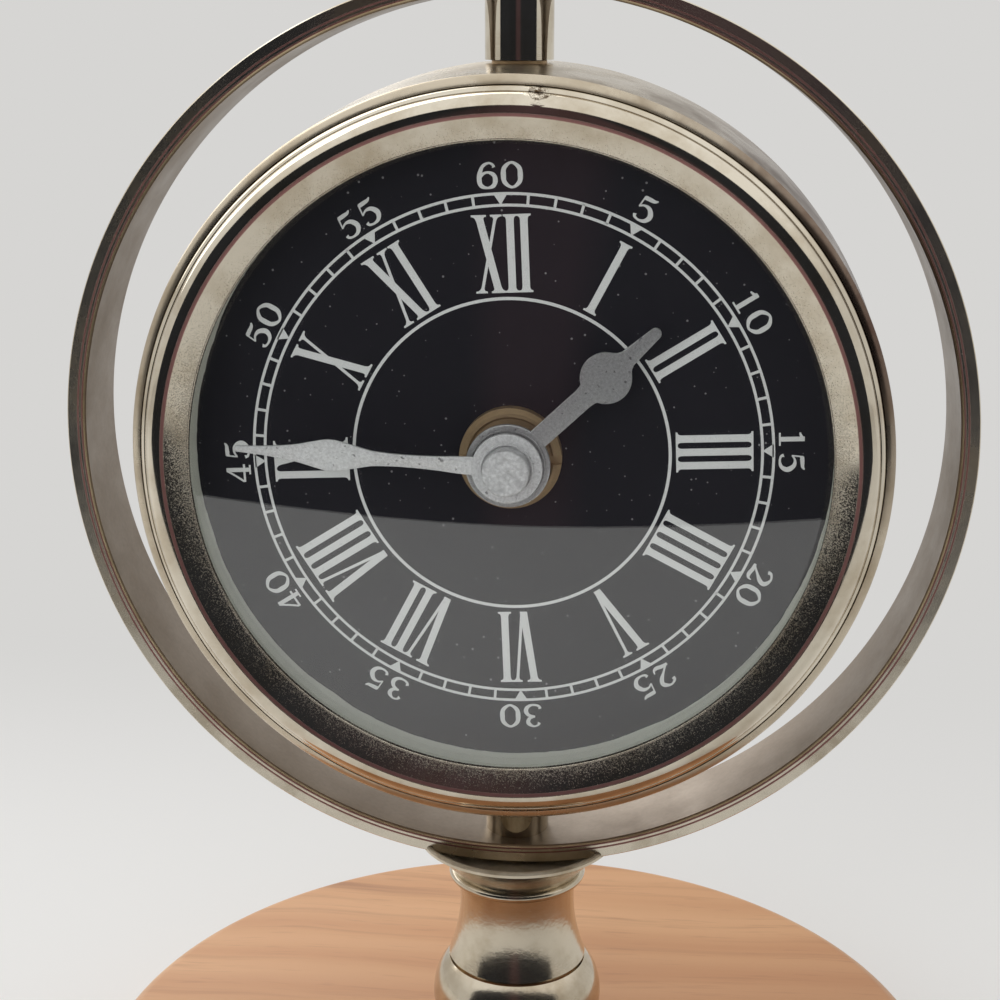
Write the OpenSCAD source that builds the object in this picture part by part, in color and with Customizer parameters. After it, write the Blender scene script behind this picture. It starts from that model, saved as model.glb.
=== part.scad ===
// Table clock: a drum with a black dial that swivels in a flat metal hoop,
// carried by a turned column on a round wooden base.
// Origin at the middle of the underside, +Z up, the dial faces -Y. Millimetres.

/* [Base] */
// Diameter of the wooden base
base_d = 111.6; // [80:0.2:140]
// Thickness of the wooden base
base_t = 16; // [12:0.5:30]
// Rounding of the base's top edge
base_edge_r = 2.5; // [1:0.5:6]
// Thickness of the felt pad under the base
felt_t = 1.2; // [0.8:0.1:3]
// How far the felt stays inside the base's edge
felt_inset = 1.5; // [0.5:0.5:6]

/* [Column] */
// Height from the base's top to the hoop's lowest point
column_h = 30; // [26:0.5:45]
// Height of the foot piece, up to the groove's top edge
foot_h = 14.4; // [12:0.2:18]
// Diameter of the foot's flange on the wood
foot_flange_d = 27; // [24:0.5:40]
// Diameter of the foot's round knop
foot_knop_d = 22; // [19.6:0.2:30]
// Diameter of the neck's lower end at the groove
neck_end_d = 17.8; // [16:0.2:19.4]
// Diameter of the neck's waist
neck_d = 14.8; // [12:0.2:15.8]
// Height of the waist above the groove
neck_waist_h = 8; // [5:0.2:12]
// Diameter of the bead under the cup
collar_d = 17.6; // [16:0.2:20]
// Diameter of the cup's rim, in which the hoop sits
cup_d = 25.8; // [22:0.2:34]
// Height of the cup
cup_h = 4.7; // [4:0.1:8]
// Diameter of the tie rod through the column
rod_d = 5; // [3:0.5:6]

/* [Hoop] */
// Clear gap between the drum and the hoop's band
hoop_gap = 7.9; // [5.6:0.1:14]
// Thickness of the hoop's band
hoop_wall = 2.2; // [1.6:0.1:3.6]
// Width of the hoop's band, front to back
hoop_w = 12.2; // [8:0.1:18]
// Chamfer on the hoop's inner edges
hoop_chamfer = 0.4; // [0.2:0.1:1]
// Diameter of the two spacer posts
post_d = 8; // [7:0.2:10]
// Diameter of the pivot pins on the posts
pivot_d = 4; // [3:0.2:5]
// Diameter of the screw head on top of the hoop
top_screw_d = 9; // [7:0.5:12]

/* [Drum] */
// Largest outer radius of the drum
drum_max_r = 44.1; // [40:0.1:60]
// How much narrower the drum is behind its front bead
drum_taper = 1; // [0.6:0.1:3]
// Thickness of the drum's sheet
drum_wall = 0.9; // [0.6:0.1:1.2]
// Depth of the drum behind the hoop's middle
drum_back = 13; // [11.6:0.1:16]
// Rounding of the drum's back edge
drum_shoulder_r = 6; // [3:0.5:8]
// Width of the drum's back rim, on which the rear cover sits
back_rim_w = 2.6; // [2:0.1:6]
// Thickness of the rear cover's plate
cover_t = 1; // [0.6:0.1:1.6]

/* [Bezel and glass] */
// Width of the bezel, from the drum's seat to its lip
bezel_w = 5.8; // [5.2:0.1:9]
// Distance of the bezel's lip from the dial
lip_gap = 6.9; // [6.2:0.1:9]
// How far the bezel's crest stands in front of its lip
crest_h = 1.5; // [0.8:0.1:2.5]
// Distance of the crest's inner edge from the lip
crest_run = 2.7; // [2:0.1:3.4]
// Thickness of the domed glass
glass_t = 1.5; // [1.2:0.1:1.8]
// How far the glass rises in front of the lip
glass_crown = 7.2; // [6.4:0.1:9]

/* [Dial and hands] */
// Distance of the dial's face in front of the hoop's middle
dial_y = 10.7; // [9.6:0.1:12]
// Thickness of the dial plate
dial_t = 0.6; // [0.4:0.1:1]
// How far the dial plate stays inside the drum's seat
dial_inset = 2; // [1.6:0.1:3]
// Distance from the minute hand's tip to the bezel's lip
minute_tip_gap = 5.4; // [4.8:0.1:12]
// Distance from the hour hand's tip to the bezel's lip
hour_tip_gap = 13.4; // [11:0.1:16]
// Clockwise angle of the minute hand at rest
minute_angle = 273.2; // [0:0.1:360]
// Clockwise angle of the hour hand at rest
hour_angle = 46.7; // [0:0.1:360]
// Thickness of the hands' sheet
hand_t = 0.5; // [0.3:0.05:0.6]
// Diameter of the brass nut that clamps the dial
dial_nut_d = 11.8; // [10.4:0.2:14]
// Diameter of the cap on the minute hand
cap_d = 5.3; // [4.6:0.1:7]

/* [Movement] */
// Width of the movement case
case_w = 56; // [50:0.5:62]
// Depth of the case's front half
case_front_depth = 8; // [7.2:0.1:9]
// Thickness of the case walls
case_wall = 1.2; // [0.8:0.1:1.4]
// Diameter of the setting knob
knob_d = 10; // [6:0.5:12]
// Diameter of the battery cell
cell_d = 14.5; // [13:0.1:16]
// Room for the spring at the cell's minus end
spring_room = 2; // [1:0.1:4]

/* [Hidden] */
$fn = 96;

// Steps along a curved stretch of an outline
steps = 10;
// Radial clearance of a turning shaft in its bearing
running_fit = 0.06;
// Clearance of pieces that are assembled and stay still
assembly_fit = 0.02;
// Clearance of the tie rod in the pieces that it holds together
rod_fit = 0.1;
// Clearance of the rear cover's skirt in the drum
cover_fit = 0.08;
// Play between the head and the posts that carry it
thrust_gap = 0.1;
// Gap between flat faces that only rest on each other
rest_gap = 0.05;
// A little extra length for cuts
cut = 1;

// Base and its fastening
base_r = base_d / 2;
base_bottom = felt_t;
base_top = felt_t + base_t;
base_foot_chamfer = 0.8;
washer_t = 1;
washer_rim = 3.5;
washer_d = rod_d + 2 * washer_rim;
nut_h = 4;
nut_wall = 1.5;
nut_flats = rod_d + 2 * nut_wall;
nut_sides = 6;
rod_tail = 0.8;
rod_end_gap = 0.7;
washer_play = 1;
counterbore_d = washer_d + 2 * washer_play;
counterbore_h = washer_t + nut_h + rod_tail + rod_end_gap;
counterbore_top = base_bottom + counterbore_h;
rod_bottom = counterbore_top - washer_t - nut_h - rod_tail;
rod_r = rod_d / 2;
rod_bore_r = rod_r + rod_fit;

// Hoop and the middle of the head
hoop_in_r = drum_max_r + hoop_gap;
hoop_r = hoop_in_r + hoop_wall;
hoop_bottom = base_top + column_h;
head_z = hoop_bottom + hoop_r;

// Column pieces, each with its own lower end as zero
neck_end_r = neck_end_d / 2;
neck_r = neck_d / 2;
collar_r = collar_d / 2;
cup_r = cup_d / 2;
cup_bite = 0.8;
rim_z = head_z - sqrt(hoop_r * hoop_r - cup_r * cup_r) + cup_bite;
cup_z = rim_z - cup_h;
foot_z = base_top;
neck_z = base_top + foot_h;
neck_h = cup_z - neck_z;
foot_flange_t = 1.8;
foot_cove_h = 1.6;
foot_cove_w = 1.4;
foot_cove_dip = 0.4;
groove_h = 0.5;
groove_depth = 0.6;
collar_h = 1.3;
collar_from = -80;
cup_rim_t = 0.7;
cup_foot_step = 0.5;
cup_foot_r = collar_r - cup_foot_step;
cup_flare_r = cup_r - 2.7;
cup_flare_h = 0.49 * cup_h;
cup_dish_r = cup_r - cup_rim_t - 0.3;
cup_dish_bend_r = cup_r - 3.3;
cup_dish_bend_h = 0.4;
cup_dish_drop = 0.8;
cup_dish_h = hoop_bottom - cup_z - cup_dish_drop;
cup_boss_wall = 2;
cup_boss_r = rod_r + cup_boss_wall;
cup_boss_h = hoop_bottom - cup_z - rest_gap;

// Drum, seen as a radius at each distance y behind the hoop's middle
drum_front_r = drum_max_r - drum_taper;
drum_max_y = drum_back - drum_shoulder_r;
dial_front = -dial_y;
dial_back = dial_front + dial_t;
lip_y = dial_front - lip_gap;
bead_step = 0.2;
bead_r = drum_front_r + bead_step;
bead_len = 1.6;
bead_round = 0.7;
bead_break = 45;
bead_setback = 0.9;
bead_front = lip_y + bead_setback;
barrel_front = bead_front + bead_len;
barrel_run = drum_max_y - barrel_front;
barrel_rho = (barrel_run * barrel_run + drum_taper * drum_taper) / (2 * drum_taper);
bezel_seat_r = drum_front_r - drum_wall;
dial_r = bezel_seat_r - dial_inset;
ledge_w = 1.4;
ledge_r = dial_r - ledge_w;
ledge_t = 0.8;
function barrel_r(y, inset = 0) =
  drum_max_r - barrel_rho + sqrt(pow(barrel_rho - inset, 2) - pow(y - drum_max_y, 2));

// Pivots between the hoop and the drum
post_r = post_d / 2;
pivot_r = pivot_d / 2;
pivot_len = 4;
bush_wall = 1.2;
bush_r = pivot_r + bush_wall;
bush_flange_w = 1.2;
bush_flange_r = bush_r + bush_flange_w;
bush_flange_t = 1;
bush_flange_gap = 0.35;
bush_proud = 0.1;
bush_end = drum_max_r + bush_proud;
bush_len = 5.6;
bush_flange_end = barrel_r(-bush_flange_r, drum_wall) - bush_flange_gap;
post_end = bush_end + thrust_gap;
post_thread_len = 4;
rod_top = head_z - hoop_in_r + post_thread_len;
top_screw_r = top_screw_d / 2;
top_screw_shank_r = 1.8;
top_screw_dome_h = 2.2;
top_screw_slot_w = 0.9;
top_screw_slot_h = 0.7;

// Bezel and glass
lip_r = bezel_seat_r - bezel_w;
lip_t = 0.5;
lip_round = 0.2;
bezel_back = lip_y + lip_t;
bezel_skirt_r = bezel_seat_r - rest_gap;
dial_play = 0.3;
bezel_skirt_in_r = dial_r + dial_play;
bezel_skirt_gap = 0.5;
bezel_skirt_end = dial_front - bezel_skirt_gap;
crest_r = lip_r + crest_run;
crest_y = lip_y - crest_h;
crest_land = 0.3;
crest_edge = 0.1;
crest_hollow = [1.2, 0.7];
crest_roll = 0.95;
ridge_w = 0.9;
ridge_step = 0.5;
ridge_setback = 0.2;
ridge_r = bezel_skirt_r - ridge_w;
ridge_y = lip_y + ridge_setback;
glass_r = dial_r;
glass_seat_y = bezel_back + rest_gap;
glass_rho = (lip_r * lip_r + glass_crown * glass_crown) / (2 * glass_crown);
glass_steps = 720;
glass_centre_y = glass_seat_y - glass_crown + glass_rho;
spacer_setback = 0.4;
spacer_in_r = lip_r + spacer_setback;

// Hand stack on the centre axis
tube_r = 4;
hour_pipe_r = 2.55;
minute_arbor_r = 1.74;
hour_pipe_bore_r = minute_arbor_r + running_fit;
tube_bore_r = hour_pipe_r + running_fit;
minute_lip_gap = 0.6;
hand_pitch = 1.3;
tube_hand_gap = 2.4;
minute_hand_y = lip_y + minute_lip_gap;
hour_hand_y = minute_hand_y + hand_pitch;
tube_front = hour_hand_y + tube_hand_gap;
dial_nut_r = dial_nut_d / 2;
dial_nut_h = 2;
dial_nut_slot_w = 1;
dial_nut_slot_h = 0.8;
dial_nut_chamfer = [0.5, 0.6];
dial_nut_land = 0.4;
dial_nut_step = [0.3, 0.5];
minute_len = lip_r - minute_tip_gap;
hour_len = lip_r - hour_tip_gap;
minute_widest_share = 0.67;
minute_waist_share = 0.4;
hour_bulb_share = 0.65;
hour_hub_r = 4.8;
hour_boss_r = 3.3;
hour_boss_len = 1.2;
pipe_proud = 0.2;
hour_pipe_front = hour_hand_y - pipe_proud;
minute_hub_r = 4;
minute_boss_r = 2.7;
minute_boss_len = 0.3;
cap_r = cap_d / 2;
cap_h = 2.3;
cap_round = 0.35;
arbor_proud = 1.2;
arbor_front = minute_hand_y - arbor_proud;
dial_washer_t = 1;

// Minute hand as half widths, and distances from its hub and from its widest place
minute_root = [-0.6, 1.1];
minute_shaft = [2, 1];
minute_waist = 0.55;
minute_shoulder = [-4.6, 0.95];
minute_flank = [1.2, 1.78];
minute_belly = 2.1;
minute_taper = [3.4, 1.2];
minute_point = [6, 0.6];
minute_tip_r = 0.45;

// Hour hand as half widths and distances
hour_root = -0.8;
hour_shaft = 1.18;
bulb_r = 2.9;
bulb_from = -60;
bulb_step = 20;
bulb_to = 40;
bulb_neck = 1.4;
bulb_neck_run = 1;
hour_point = 0.95;
hour_tip_r = 0.65;

// Gear layers, from the dial backwards
case_front = dial_back + dial_washer_t;
front_plate_t = 1.1;
plate_in = case_front + front_plate_t;
layer_pitch = 1.4;
wheel_t = 0.8;
pinion_extra = 0.2;
first_layer_gap = 0.3;
function layer_y(n) = plate_in + first_layer_gap + n * layer_pitch;

// Tooth form as shares of the module and of the tooth pitch
tooth_tip = 0.7;
tooth_root = 1.0;
tooth_half_tip = 0.1;
tooth_half_root = 0.26;

// Tooth counts and modules of the motion work and of the drive train
cannon_teeth = 12;
minute_teeth = 36;
motion_module = 0.4;
hour_pinion_teeth = 10;
hour_teeth = 40;
motion_axis = motion_module * (cannon_teeth + minute_teeth) / 2;
hour_module = 2 * motion_axis / (hour_pinion_teeth + hour_teeth);
pinion_teeth = 8;
centre_teeth = 64;
centre_module = 0.25;
third_teeth = 60;
third_module = 0.2;
seconds_teeth = 48;
seconds_module = 0.2;
rotor_teeth = 10;
intermediate_teeth = 50;
rotor_module = 0.18;

// Directions from each axis to the next, and the axes as [x, z] from the head's middle
to_minute = 45;
to_setting = -20;
to_third = 135;
to_seconds = 100;
to_intermediate = 20;
to_rotor = 30;
function step_to(from, angle, teeth_a, teeth_b, m) =
  from + m * (teeth_a + teeth_b) / 2 * [cos(angle), sin(angle)];
centre_axis = [0, 0];
minute_axis = step_to(centre_axis, to_minute, cannon_teeth, minute_teeth, motion_module);
setting_axis = step_to(minute_axis, to_setting, minute_teeth, cannon_teeth, motion_module);
third_axis = step_to(centre_axis, to_third, centre_teeth, pinion_teeth, centre_module);
seconds_axis = step_to(third_axis, to_seconds, third_teeth, pinion_teeth, third_module);
intermediate_axis = step_to(seconds_axis, to_intermediate, seconds_teeth, pinion_teeth, seconds_module);
rotor_axis = step_to(intermediate_axis, to_rotor, intermediate_teeth, rotor_teeth, rotor_module);

// Phase that puts the second gear of a pair in mesh with the first
function in_mesh(phase_a, teeth_a, teeth_b, angle) =
  angle + 180 + 180 / teeth_b - (phase_a - angle) * teeth_a / teeth_b;
minute_phase = in_mesh(0, cannon_teeth, minute_teeth, to_minute);
setting_phase = in_mesh(minute_phase, minute_teeth, cannon_teeth, to_setting);
hour_phase = in_mesh(0, hour_pinion_teeth, hour_teeth, to_minute + 180);
third_pinion_phase = in_mesh(0, centre_teeth, pinion_teeth, to_third);
seconds_pinion_phase = in_mesh(0, third_teeth, pinion_teeth, to_seconds);
intermediate_pinion_phase = in_mesh(0, seconds_teeth, pinion_teeth, to_intermediate);
rotor_pinion_phase = in_mesh(0, intermediate_teeth, rotor_teeth, to_rotor);

// Battery bay, under the gears, and the case round both
bay_wall_t = 1.2;
wheel_room = 1.425;
cell_top_gap = 0.5;
cell_low_gap = 1;
cell_back_gap = 0.35;
nub_r = 2.75;
nub_len = 1;
contact_t = 0.5;
contact_w = 11;
spring_root_r = 4.5;
spring_tip_r = 2;
cell_r = cell_d / 2;
case_in = case_w / 2 - case_wall;
bay_ceiling = centre_module * (centre_teeth / 2 + tooth_tip) + wheel_room + bay_wall_t;
case_in_h = bay_ceiling + cell_top_gap + cell_d + cell_low_gap;
case_h = 2 * (case_in_h + case_wall);
case_depth = front_plate_t + rest_gap + cell_d + cell_back_gap;
case_split = case_front + case_front_depth;
case_back = case_front + case_depth;
back_plate_t = 1;
case_drum_gap = 0.4;
case_corner_least = 3;
case_room_r = barrel_r(case_front, drum_wall) - case_drum_gap;
function corner_to_clear(a, b, r) = a + b - r - sqrt(2 * (r - a) * (r - b));
case_corner_r = max(case_corner_least, corner_to_clear(case_w / 2, case_h / 2, case_room_r));
cell_y = plate_in + rest_gap + cell_r;
cell_z = -case_in_h + cell_low_gap + cell_r;
positive_x = case_in - rest_gap;
negative_x = -case_in + rest_gap;
cell_end = positive_x - contact_t - nub_len;
cell_start = negative_x + contact_t + spring_room;
bay_rim = 0.4;

// Arbors and the bridge that holds their rear ends
arbor_r = 0.5;
fine_arbor_r = 0.4;
pivot_end_r = 0.3;
pivot_end_len = 0.7;
bridge_gap = 1;
bridge_front = layer_y(7) + bridge_gap;
bridge_t = 0.8;
bridge_pillars = [[-11.5, -2.5], [-12, 20], [10.5, -4]];
bridge_pillar_r = 1.3;
bridge_outline = [
  [-14, -5], [11, -6.6], [13.4, -3.6], [11.4, 8.6], [6.6, 12], [6.6, 20], [4, 22], [-14.6, 22.4]
];
centre_rear_r = 1.2;
centre_hub_wall = 1;
centre_pivot_r = 0.6;

// Motor
magnet_r = 2.4;
magnet_t = 2;
magnet_gap = 0.6;
magnet_front = layer_y(5) + wheel_t + magnet_gap;
stator_t = 1;
stator_front = magnet_front + (magnet_t - stator_t) / 2;
stator_ring_r = 4.4;
air_gap = 0.5;
stator_hole_r = magnet_r + air_gap;
stator_bar_w = 2.4;
stator_inset = 0.6;
stator_right = case_in - stator_inset;
core_inset = 5.3;
core_z = case_in_h - core_inset;
core_offset = 1.6;
core_left = rotor_axis.x + core_offset;
bar_spacing = 6.1;
low_bar_z = core_z - bar_spacing;
coil_r = 2.9;
coil_gap = 0.8;
coil_left = 9;
coil_right = stator_right - stator_bar_w - coil_gap;
stator_pillar_inset = 5.2;
stator_pillar_x = 6.3;
stator_pillars = [[stator_right - stator_pillar_inset, low_bar_z], [stator_pillar_x, core_z]];
stator_pillar_r = 1.1;

// Circuit board
board_inset = 0.8;
board_left = -case_in + board_inset;
board_w = 9.6;
board_low = -7;
board_h = 16;
board_gap = 0.4;
board_front = layer_y(3) + board_gap;
board_t = 0.8;
board_pillar_r = 1.4;
board_pillar_inset = [2, 2.5];
board_pillar_x = board_left + board_pillar_inset.x;
board_pillars = [
  [board_pillar_x, board_low + board_pillar_inset.y],
  [board_pillar_x, board_low + board_h - board_pillar_inset.y]
];
chip_w = 4;
chip_t = 1;
chip_inset = 1;
crystal_r = 1;
crystal_len = 6;
crystal_inset = [6, 5];
crystal_at = [board_left, board_low] + crystal_inset;

// Setting knob
setting_shaft_r = 1.4;
knob_r = knob_d / 2;
knob_gap = 0.4;
knob_front = case_back + knob_gap;
knob_h = 3.6;
knob_ridges = 24;
knob_ridge_r = 0.3;

// Rear cover
cover_seat = drum_back + rest_gap;
cover_r = drum_max_r - drum_shoulder_r;
back_open_r = cover_r - back_rim_w;
cover_skirt_r = back_open_r - cover_fit;
cover_skirt_t = 0.8;
cover_skirt_len = 3.5;
cover_tab_w = 12;
cover_tab_reach = 2.5;
cover_tab_root = 3;

// Points along an arc, and along a curve from a to c that bends towards b
function arc(centre, r, from, to) =
  [for (i = [0:steps]) let (t = from + (to - from) * i / steps) centre + r * [cos(t), sin(t)]];
function curve(a, b, c) =
  [for (i = [0:steps]) let (t = i / steps) (1 - t) * (1 - t) * a + 2 * t * (1 - t) * b + t * t * c];
function rounded_box(w, h, r) =
  [for (q = [[1, 1, 0], [-1, 1, 90], [-1, -1, 180], [1, -1, 270]])
    for (i = [0:4])
      [q.x * (w / 2 - r), q.y * (h / 2 - r)] + r * [cos(q.z + i * 22.5), sin(q.z + i * 22.5)]];

// Turns a profile of [radius, y] about the axis through the dial's middle
module about_dial() {
  translate([0, 0, head_z])
    rotate([-90, 0, 0])
      rotate_extrude()
        children();
}

// Extrudes an outline drawn as seen from the front, from y_front back by depth
module facing_front(y_front, depth) {
  translate([0, y_front + depth, head_z])
    rotate([90, 0, 0])
      linear_extrude(depth)
        children();
}

// Round bar along Y at an [x, z] place on the head
module bar(at, r, from, to) {
  translate([at.x, from, head_z + at.y])
    rotate([-90, 0, 0])
      cylinder(r = r, h = to - from);
}

// Round bar along Z on the object's own axis
module upright(r, from, to) {
  translate([0, 0, from])
    cylinder(r = r, h = to - from);
}

// Solid cylinder that lies along Y through the hoop's middle
module hoop_cylinder(r, width) {
  translate([0, 0, head_z])
    rotate([90, 0, 0])
      cylinder(r = r, h = width, center = true, $fn = 180);
}

// Gear outline with one tooth at the angle phase
module gear_outline(teeth, m, phase) {
  pitch = 360 / teeth;
  tip = m * (teeth / 2 + tooth_tip);
  root = m * (teeth / 2 - tooth_root);
  polygon([
    for (i = [0:teeth - 1])
      for (p = [
        [root, -tooth_half_root], [tip, -tooth_half_tip], [tip, tooth_half_tip], [root, tooth_half_root]
      ])
        let (t = phase + (i + p.y) * pitch)
          p.x * [cos(t), sin(t)]
  ]);
}

module gear(at, teeth, m, phase, y_front, t) {
  facing_front(y_front, t)
    translate(at)
      gear_outline(teeth, m, phase);
}

// A pinion that is a little wider than the wheel in its layer
module pinion(at, teeth, m, phase, layer) {
  gear(at, teeth, m, phase, layer_y(layer) - pinion_extra, wheel_t + 2 * pinion_extra);
}

// Arbor from the front plate to the bridge, with a pivot at each end
module arbor(at, r) {
  bar(at, r, plate_in + rest_gap, bridge_front - rest_gap);
  bar(at, pivot_end_r, plate_in - pivot_end_len, bridge_front + pivot_end_len);
}

// Base

module base_felt_pad() {
  color("darkolivegreen")
    upright(base_r - felt_inset, 0, felt_t);
}

module base_disc() {
  color("peru")
    difference() {
      translate([0, 0, base_bottom])
        rotate_extrude($fn = 180)
          polygon(concat(
            [[0, 0], [base_r - base_foot_chamfer, 0], [base_r, base_foot_chamfer]],
            arc([base_r - base_edge_r, base_t - base_edge_r], base_edge_r, 0, 90),
            [[0, base_t]]
          ));
      upright(rod_bore_r, base_bottom - cut, base_top + cut);
      upright(counterbore_d / 2, base_bottom - cut, counterbore_top);
    }
}

module base_washer() {
  color("silver")
    difference() {
      upright(washer_d / 2, counterbore_top - washer_t, counterbore_top);
      upright(rod_bore_r, counterbore_top - washer_t - cut, counterbore_top + cut);
    }
}

module base_nut() {
  nut_top = counterbore_top - washer_t;
  color("silver")
    difference() {
      translate([0, 0, nut_top - nut_h])
        cylinder(r = nut_flats / 2 / cos(180 / nut_sides), h = nut_h, $fn = nut_sides);
      upright(rod_r + assembly_fit, nut_top - nut_h - cut, nut_top + cut);
    }
}

module tie_rod() {
  color("silver")
    upright(rod_r, rod_bottom, rod_top);
}

// Column

module column_foot() {
  knop_low = foot_flange_t + foot_cove_h;
  knop_high = foot_h - groove_h;
  half = (knop_high - knop_low) / 2;
  bulge = foot_knop_d / 2 - neck_end_r;
  rho = (half * half + bulge * bulge) / (2 * bulge);
  sweep = asin(half / rho);
  flange_r = foot_flange_d / 2;
  edge = foot_flange_t / 2;
  color("silver")
    translate([0, 0, foot_z])
      rotate_extrude()
        polygon(concat(
          [[rod_bore_r, 0]],
          arc([flange_r - edge, edge], edge, -90, 90),
          curve(
            [neck_end_r + foot_cove_w, foot_flange_t],
            [neck_end_r - foot_cove_dip, foot_flange_t],
            [neck_end_r, knop_low]
          ),
          arc([foot_knop_d / 2 - rho, knop_low + half], rho, -sweep, sweep),
          [[neck_end_r - groove_depth, knop_high], [neck_end_r - groove_depth, foot_h], [rod_bore_r, foot_h]]
        ));
}

module column_neck() {
  flare = neck_end_r - neck_r;
  rho = (neck_waist_h * neck_waist_h + flare * flare) / (2 * flare);
  bead = collar_h / 2;
  arc_top = neck_h - collar_h;
  high = asin((arc_top - neck_waist_h) / rho);
  low = asin(neck_waist_h / rho);
  color("silver")
    translate([0, 0, neck_z])
      rotate_extrude()
        polygon(concat(
          [[rod_bore_r, 0]],
          arc([neck_r + rho, neck_waist_h], rho, 180 + low, 180 - high),
          arc([collar_r - bead, neck_h - bead], bead, collar_from, 90),
          [[rod_bore_r, neck_h]]
        ));
}

module column_cup() {
  color("silver")
    difference() {
      translate([0, 0, cup_z])
        rotate_extrude()
          polygon(concat(
            [[rod_bore_r, 0]],
            curve([cup_foot_r, 0], [cup_flare_r, cup_flare_h], [cup_r, cup_h - cup_rim_t]),
            arc([cup_r - cup_rim_t / 2, cup_h - cup_rim_t / 2], cup_rim_t / 2, 0, 180),
            curve(
              [cup_dish_r, cup_h - cup_rim_t],
              [cup_dish_bend_r, cup_dish_h + cup_dish_bend_h],
              [cup_foot_r, cup_dish_h]
            ),
            [[cup_boss_r, cup_dish_h], [cup_boss_r, cup_boss_h], [rod_bore_r, cup_boss_h]]
          ));
      hoop_cylinder(hoop_r, hoop_w + 2 * rod_fit);
    }
}

// Hoop and pivots

module hoop() {
  half = hoop_w / 2;
  color("lightgray")
    difference() {
      translate([0, 0, head_z])
        rotate([-90, 0, 0])
          rotate_extrude($fn = 180)
            polygon([
              [hoop_r, -half], [hoop_r, half], [hoop_in_r + hoop_chamfer, half],
              [hoop_in_r, half - hoop_chamfer], [hoop_in_r, hoop_chamfer - half],
              [hoop_in_r + hoop_chamfer, -half]
            ]);
      upright(rod_bore_r, head_z - hoop_r - cut, head_z - hoop_in_r + cut);
      upright(top_screw_shank_r + rod_fit, head_z + hoop_in_r - cut, head_z + hoop_r + cut);
    }
}

// Spacer post on the hoop's inside, with a pivot pin towards the drum
module spacer_post(thread_r) {
  hoop_side = head_z - hoop_in_r;
  difference() {
    union() {
      intersection() {
        upright(post_r, hoop_side - cut, head_z - post_end);
        hoop_cylinder(hoop_in_r - assembly_fit, hoop_w);
      }
      upright(pivot_r, head_z - post_end - cut, head_z - post_end + pivot_len);
    }
    upright(thread_r + assembly_fit, hoop_side - cut, hoop_side + post_thread_len + assembly_fit);
  }
}

// Places a piece of the lower pivot at the upper one
module at_top() {
  translate([0, 0, head_z])
    mirror([0, 0, 1])
      translate([0, 0, -head_z])
        children();
}

module lower_post() {
  color("silver")
    spacer_post(rod_r);
}

module upper_post() {
  color("silver")
    at_top()
      spacer_post(top_screw_shank_r);
}

module top_screw() {
  crown = head_z + hoop_r + top_screw_dome_h;
  rho = (top_screw_r * top_screw_r + top_screw_dome_h * top_screw_dome_h) / (2 * top_screw_dome_h);
  color("silver")
    union() {
      difference() {
        intersection() {
          upright(top_screw_r, head_z + hoop_r - cut, crown);
          translate([0, 0, crown - rho])
            sphere(r = rho);
        }
        hoop_cylinder(hoop_r + assembly_fit, hoop_w);
        translate([0, 0, crown])
          cube([top_screw_d, top_screw_slot_w, 2 * top_screw_slot_h], center = true);
      }
      upright(top_screw_shank_r, head_z + hoop_in_r - post_thread_len, crown - top_screw_dome_h / 2);
    }
}

// Drum

module drum_shell() {
  max_at = [drum_max_r - barrel_rho, drum_max_y];
  shoulder_at = [cover_r, drum_max_y];
  ledge_back = dial_back + ledge_t;
  outer_from = asin((barrel_front - drum_max_y) / barrel_rho);
  inner_rho = barrel_rho - drum_wall;
  inner_from = asin((ledge_back - drum_max_y) / inner_rho);
  color("lightgray")
    difference() {
      about_dial()
        polygon(concat(
          [[bezel_seat_r, bead_front]],
          arc([bead_r - bead_round, bead_front + bead_round], bead_round, -90, 0),
          arc([bead_r - bead_round, barrel_front - bead_round], bead_round, 0, bead_break),
          arc(max_at, barrel_rho, outer_from, 0),
          arc(shoulder_at, drum_shoulder_r, 0, 90),
          [[back_open_r, drum_back], [back_open_r, drum_back - drum_wall]],
          arc(shoulder_at, drum_shoulder_r - drum_wall, 90, 0),
          arc(max_at, inner_rho, 0, inner_from),
          [[ledge_r, ledge_back], [ledge_r, dial_back], [bezel_seat_r, dial_back]]
        ));
      upright(bush_r + assembly_fit, head_z - drum_max_r - cut, head_z + drum_max_r + cut);
    }
}

// Bush in the drum's wall that turns on the post's pin
module pivot_bush() {
  difference() {
    union() {
      upright(bush_r, head_z - bush_end, head_z - bush_end + bush_len);
      upright(bush_flange_r, head_z - bush_flange_end, head_z - bush_flange_end + bush_flange_t);
    }
    upright(pivot_r + running_fit, head_z - bush_end - cut, head_z - bush_end + bush_len + cut);
  }
}

module lower_bush() {
  color("goldenrod")
    pivot_bush();
}

module upper_bush() {
  color("goldenrod")
    at_top()
      pivot_bush();
}

module bezel() {
  roll_r = (ridge_r - crest_r) * crest_roll;
  color("gainsboro")
    about_dial()
      polygon(concat(
        [[lip_r, bezel_back], [lip_r, lip_y]],
        curve(
          [lip_r + lip_round, lip_y - crest_edge],
          [crest_r, crest_y] + [-crest_hollow.x, crest_hollow.y],
          [crest_r, crest_y + crest_edge]
        ),
        curve(
          [crest_r + crest_land, crest_y],
          [crest_r + roll_r, crest_y],
          [ridge_r, ridge_y - ridge_setback]
        ),
        [
          [ridge_r, ridge_y], [ridge_r + ridge_step, ridge_y + crest_edge],
          [bezel_skirt_r, ridge_y + ridge_step], [bezel_skirt_r, bezel_skirt_end],
          [bezel_skirt_in_r, bezel_skirt_end], [bezel_skirt_in_r, bezel_back]
        ]
      ));
}

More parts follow.
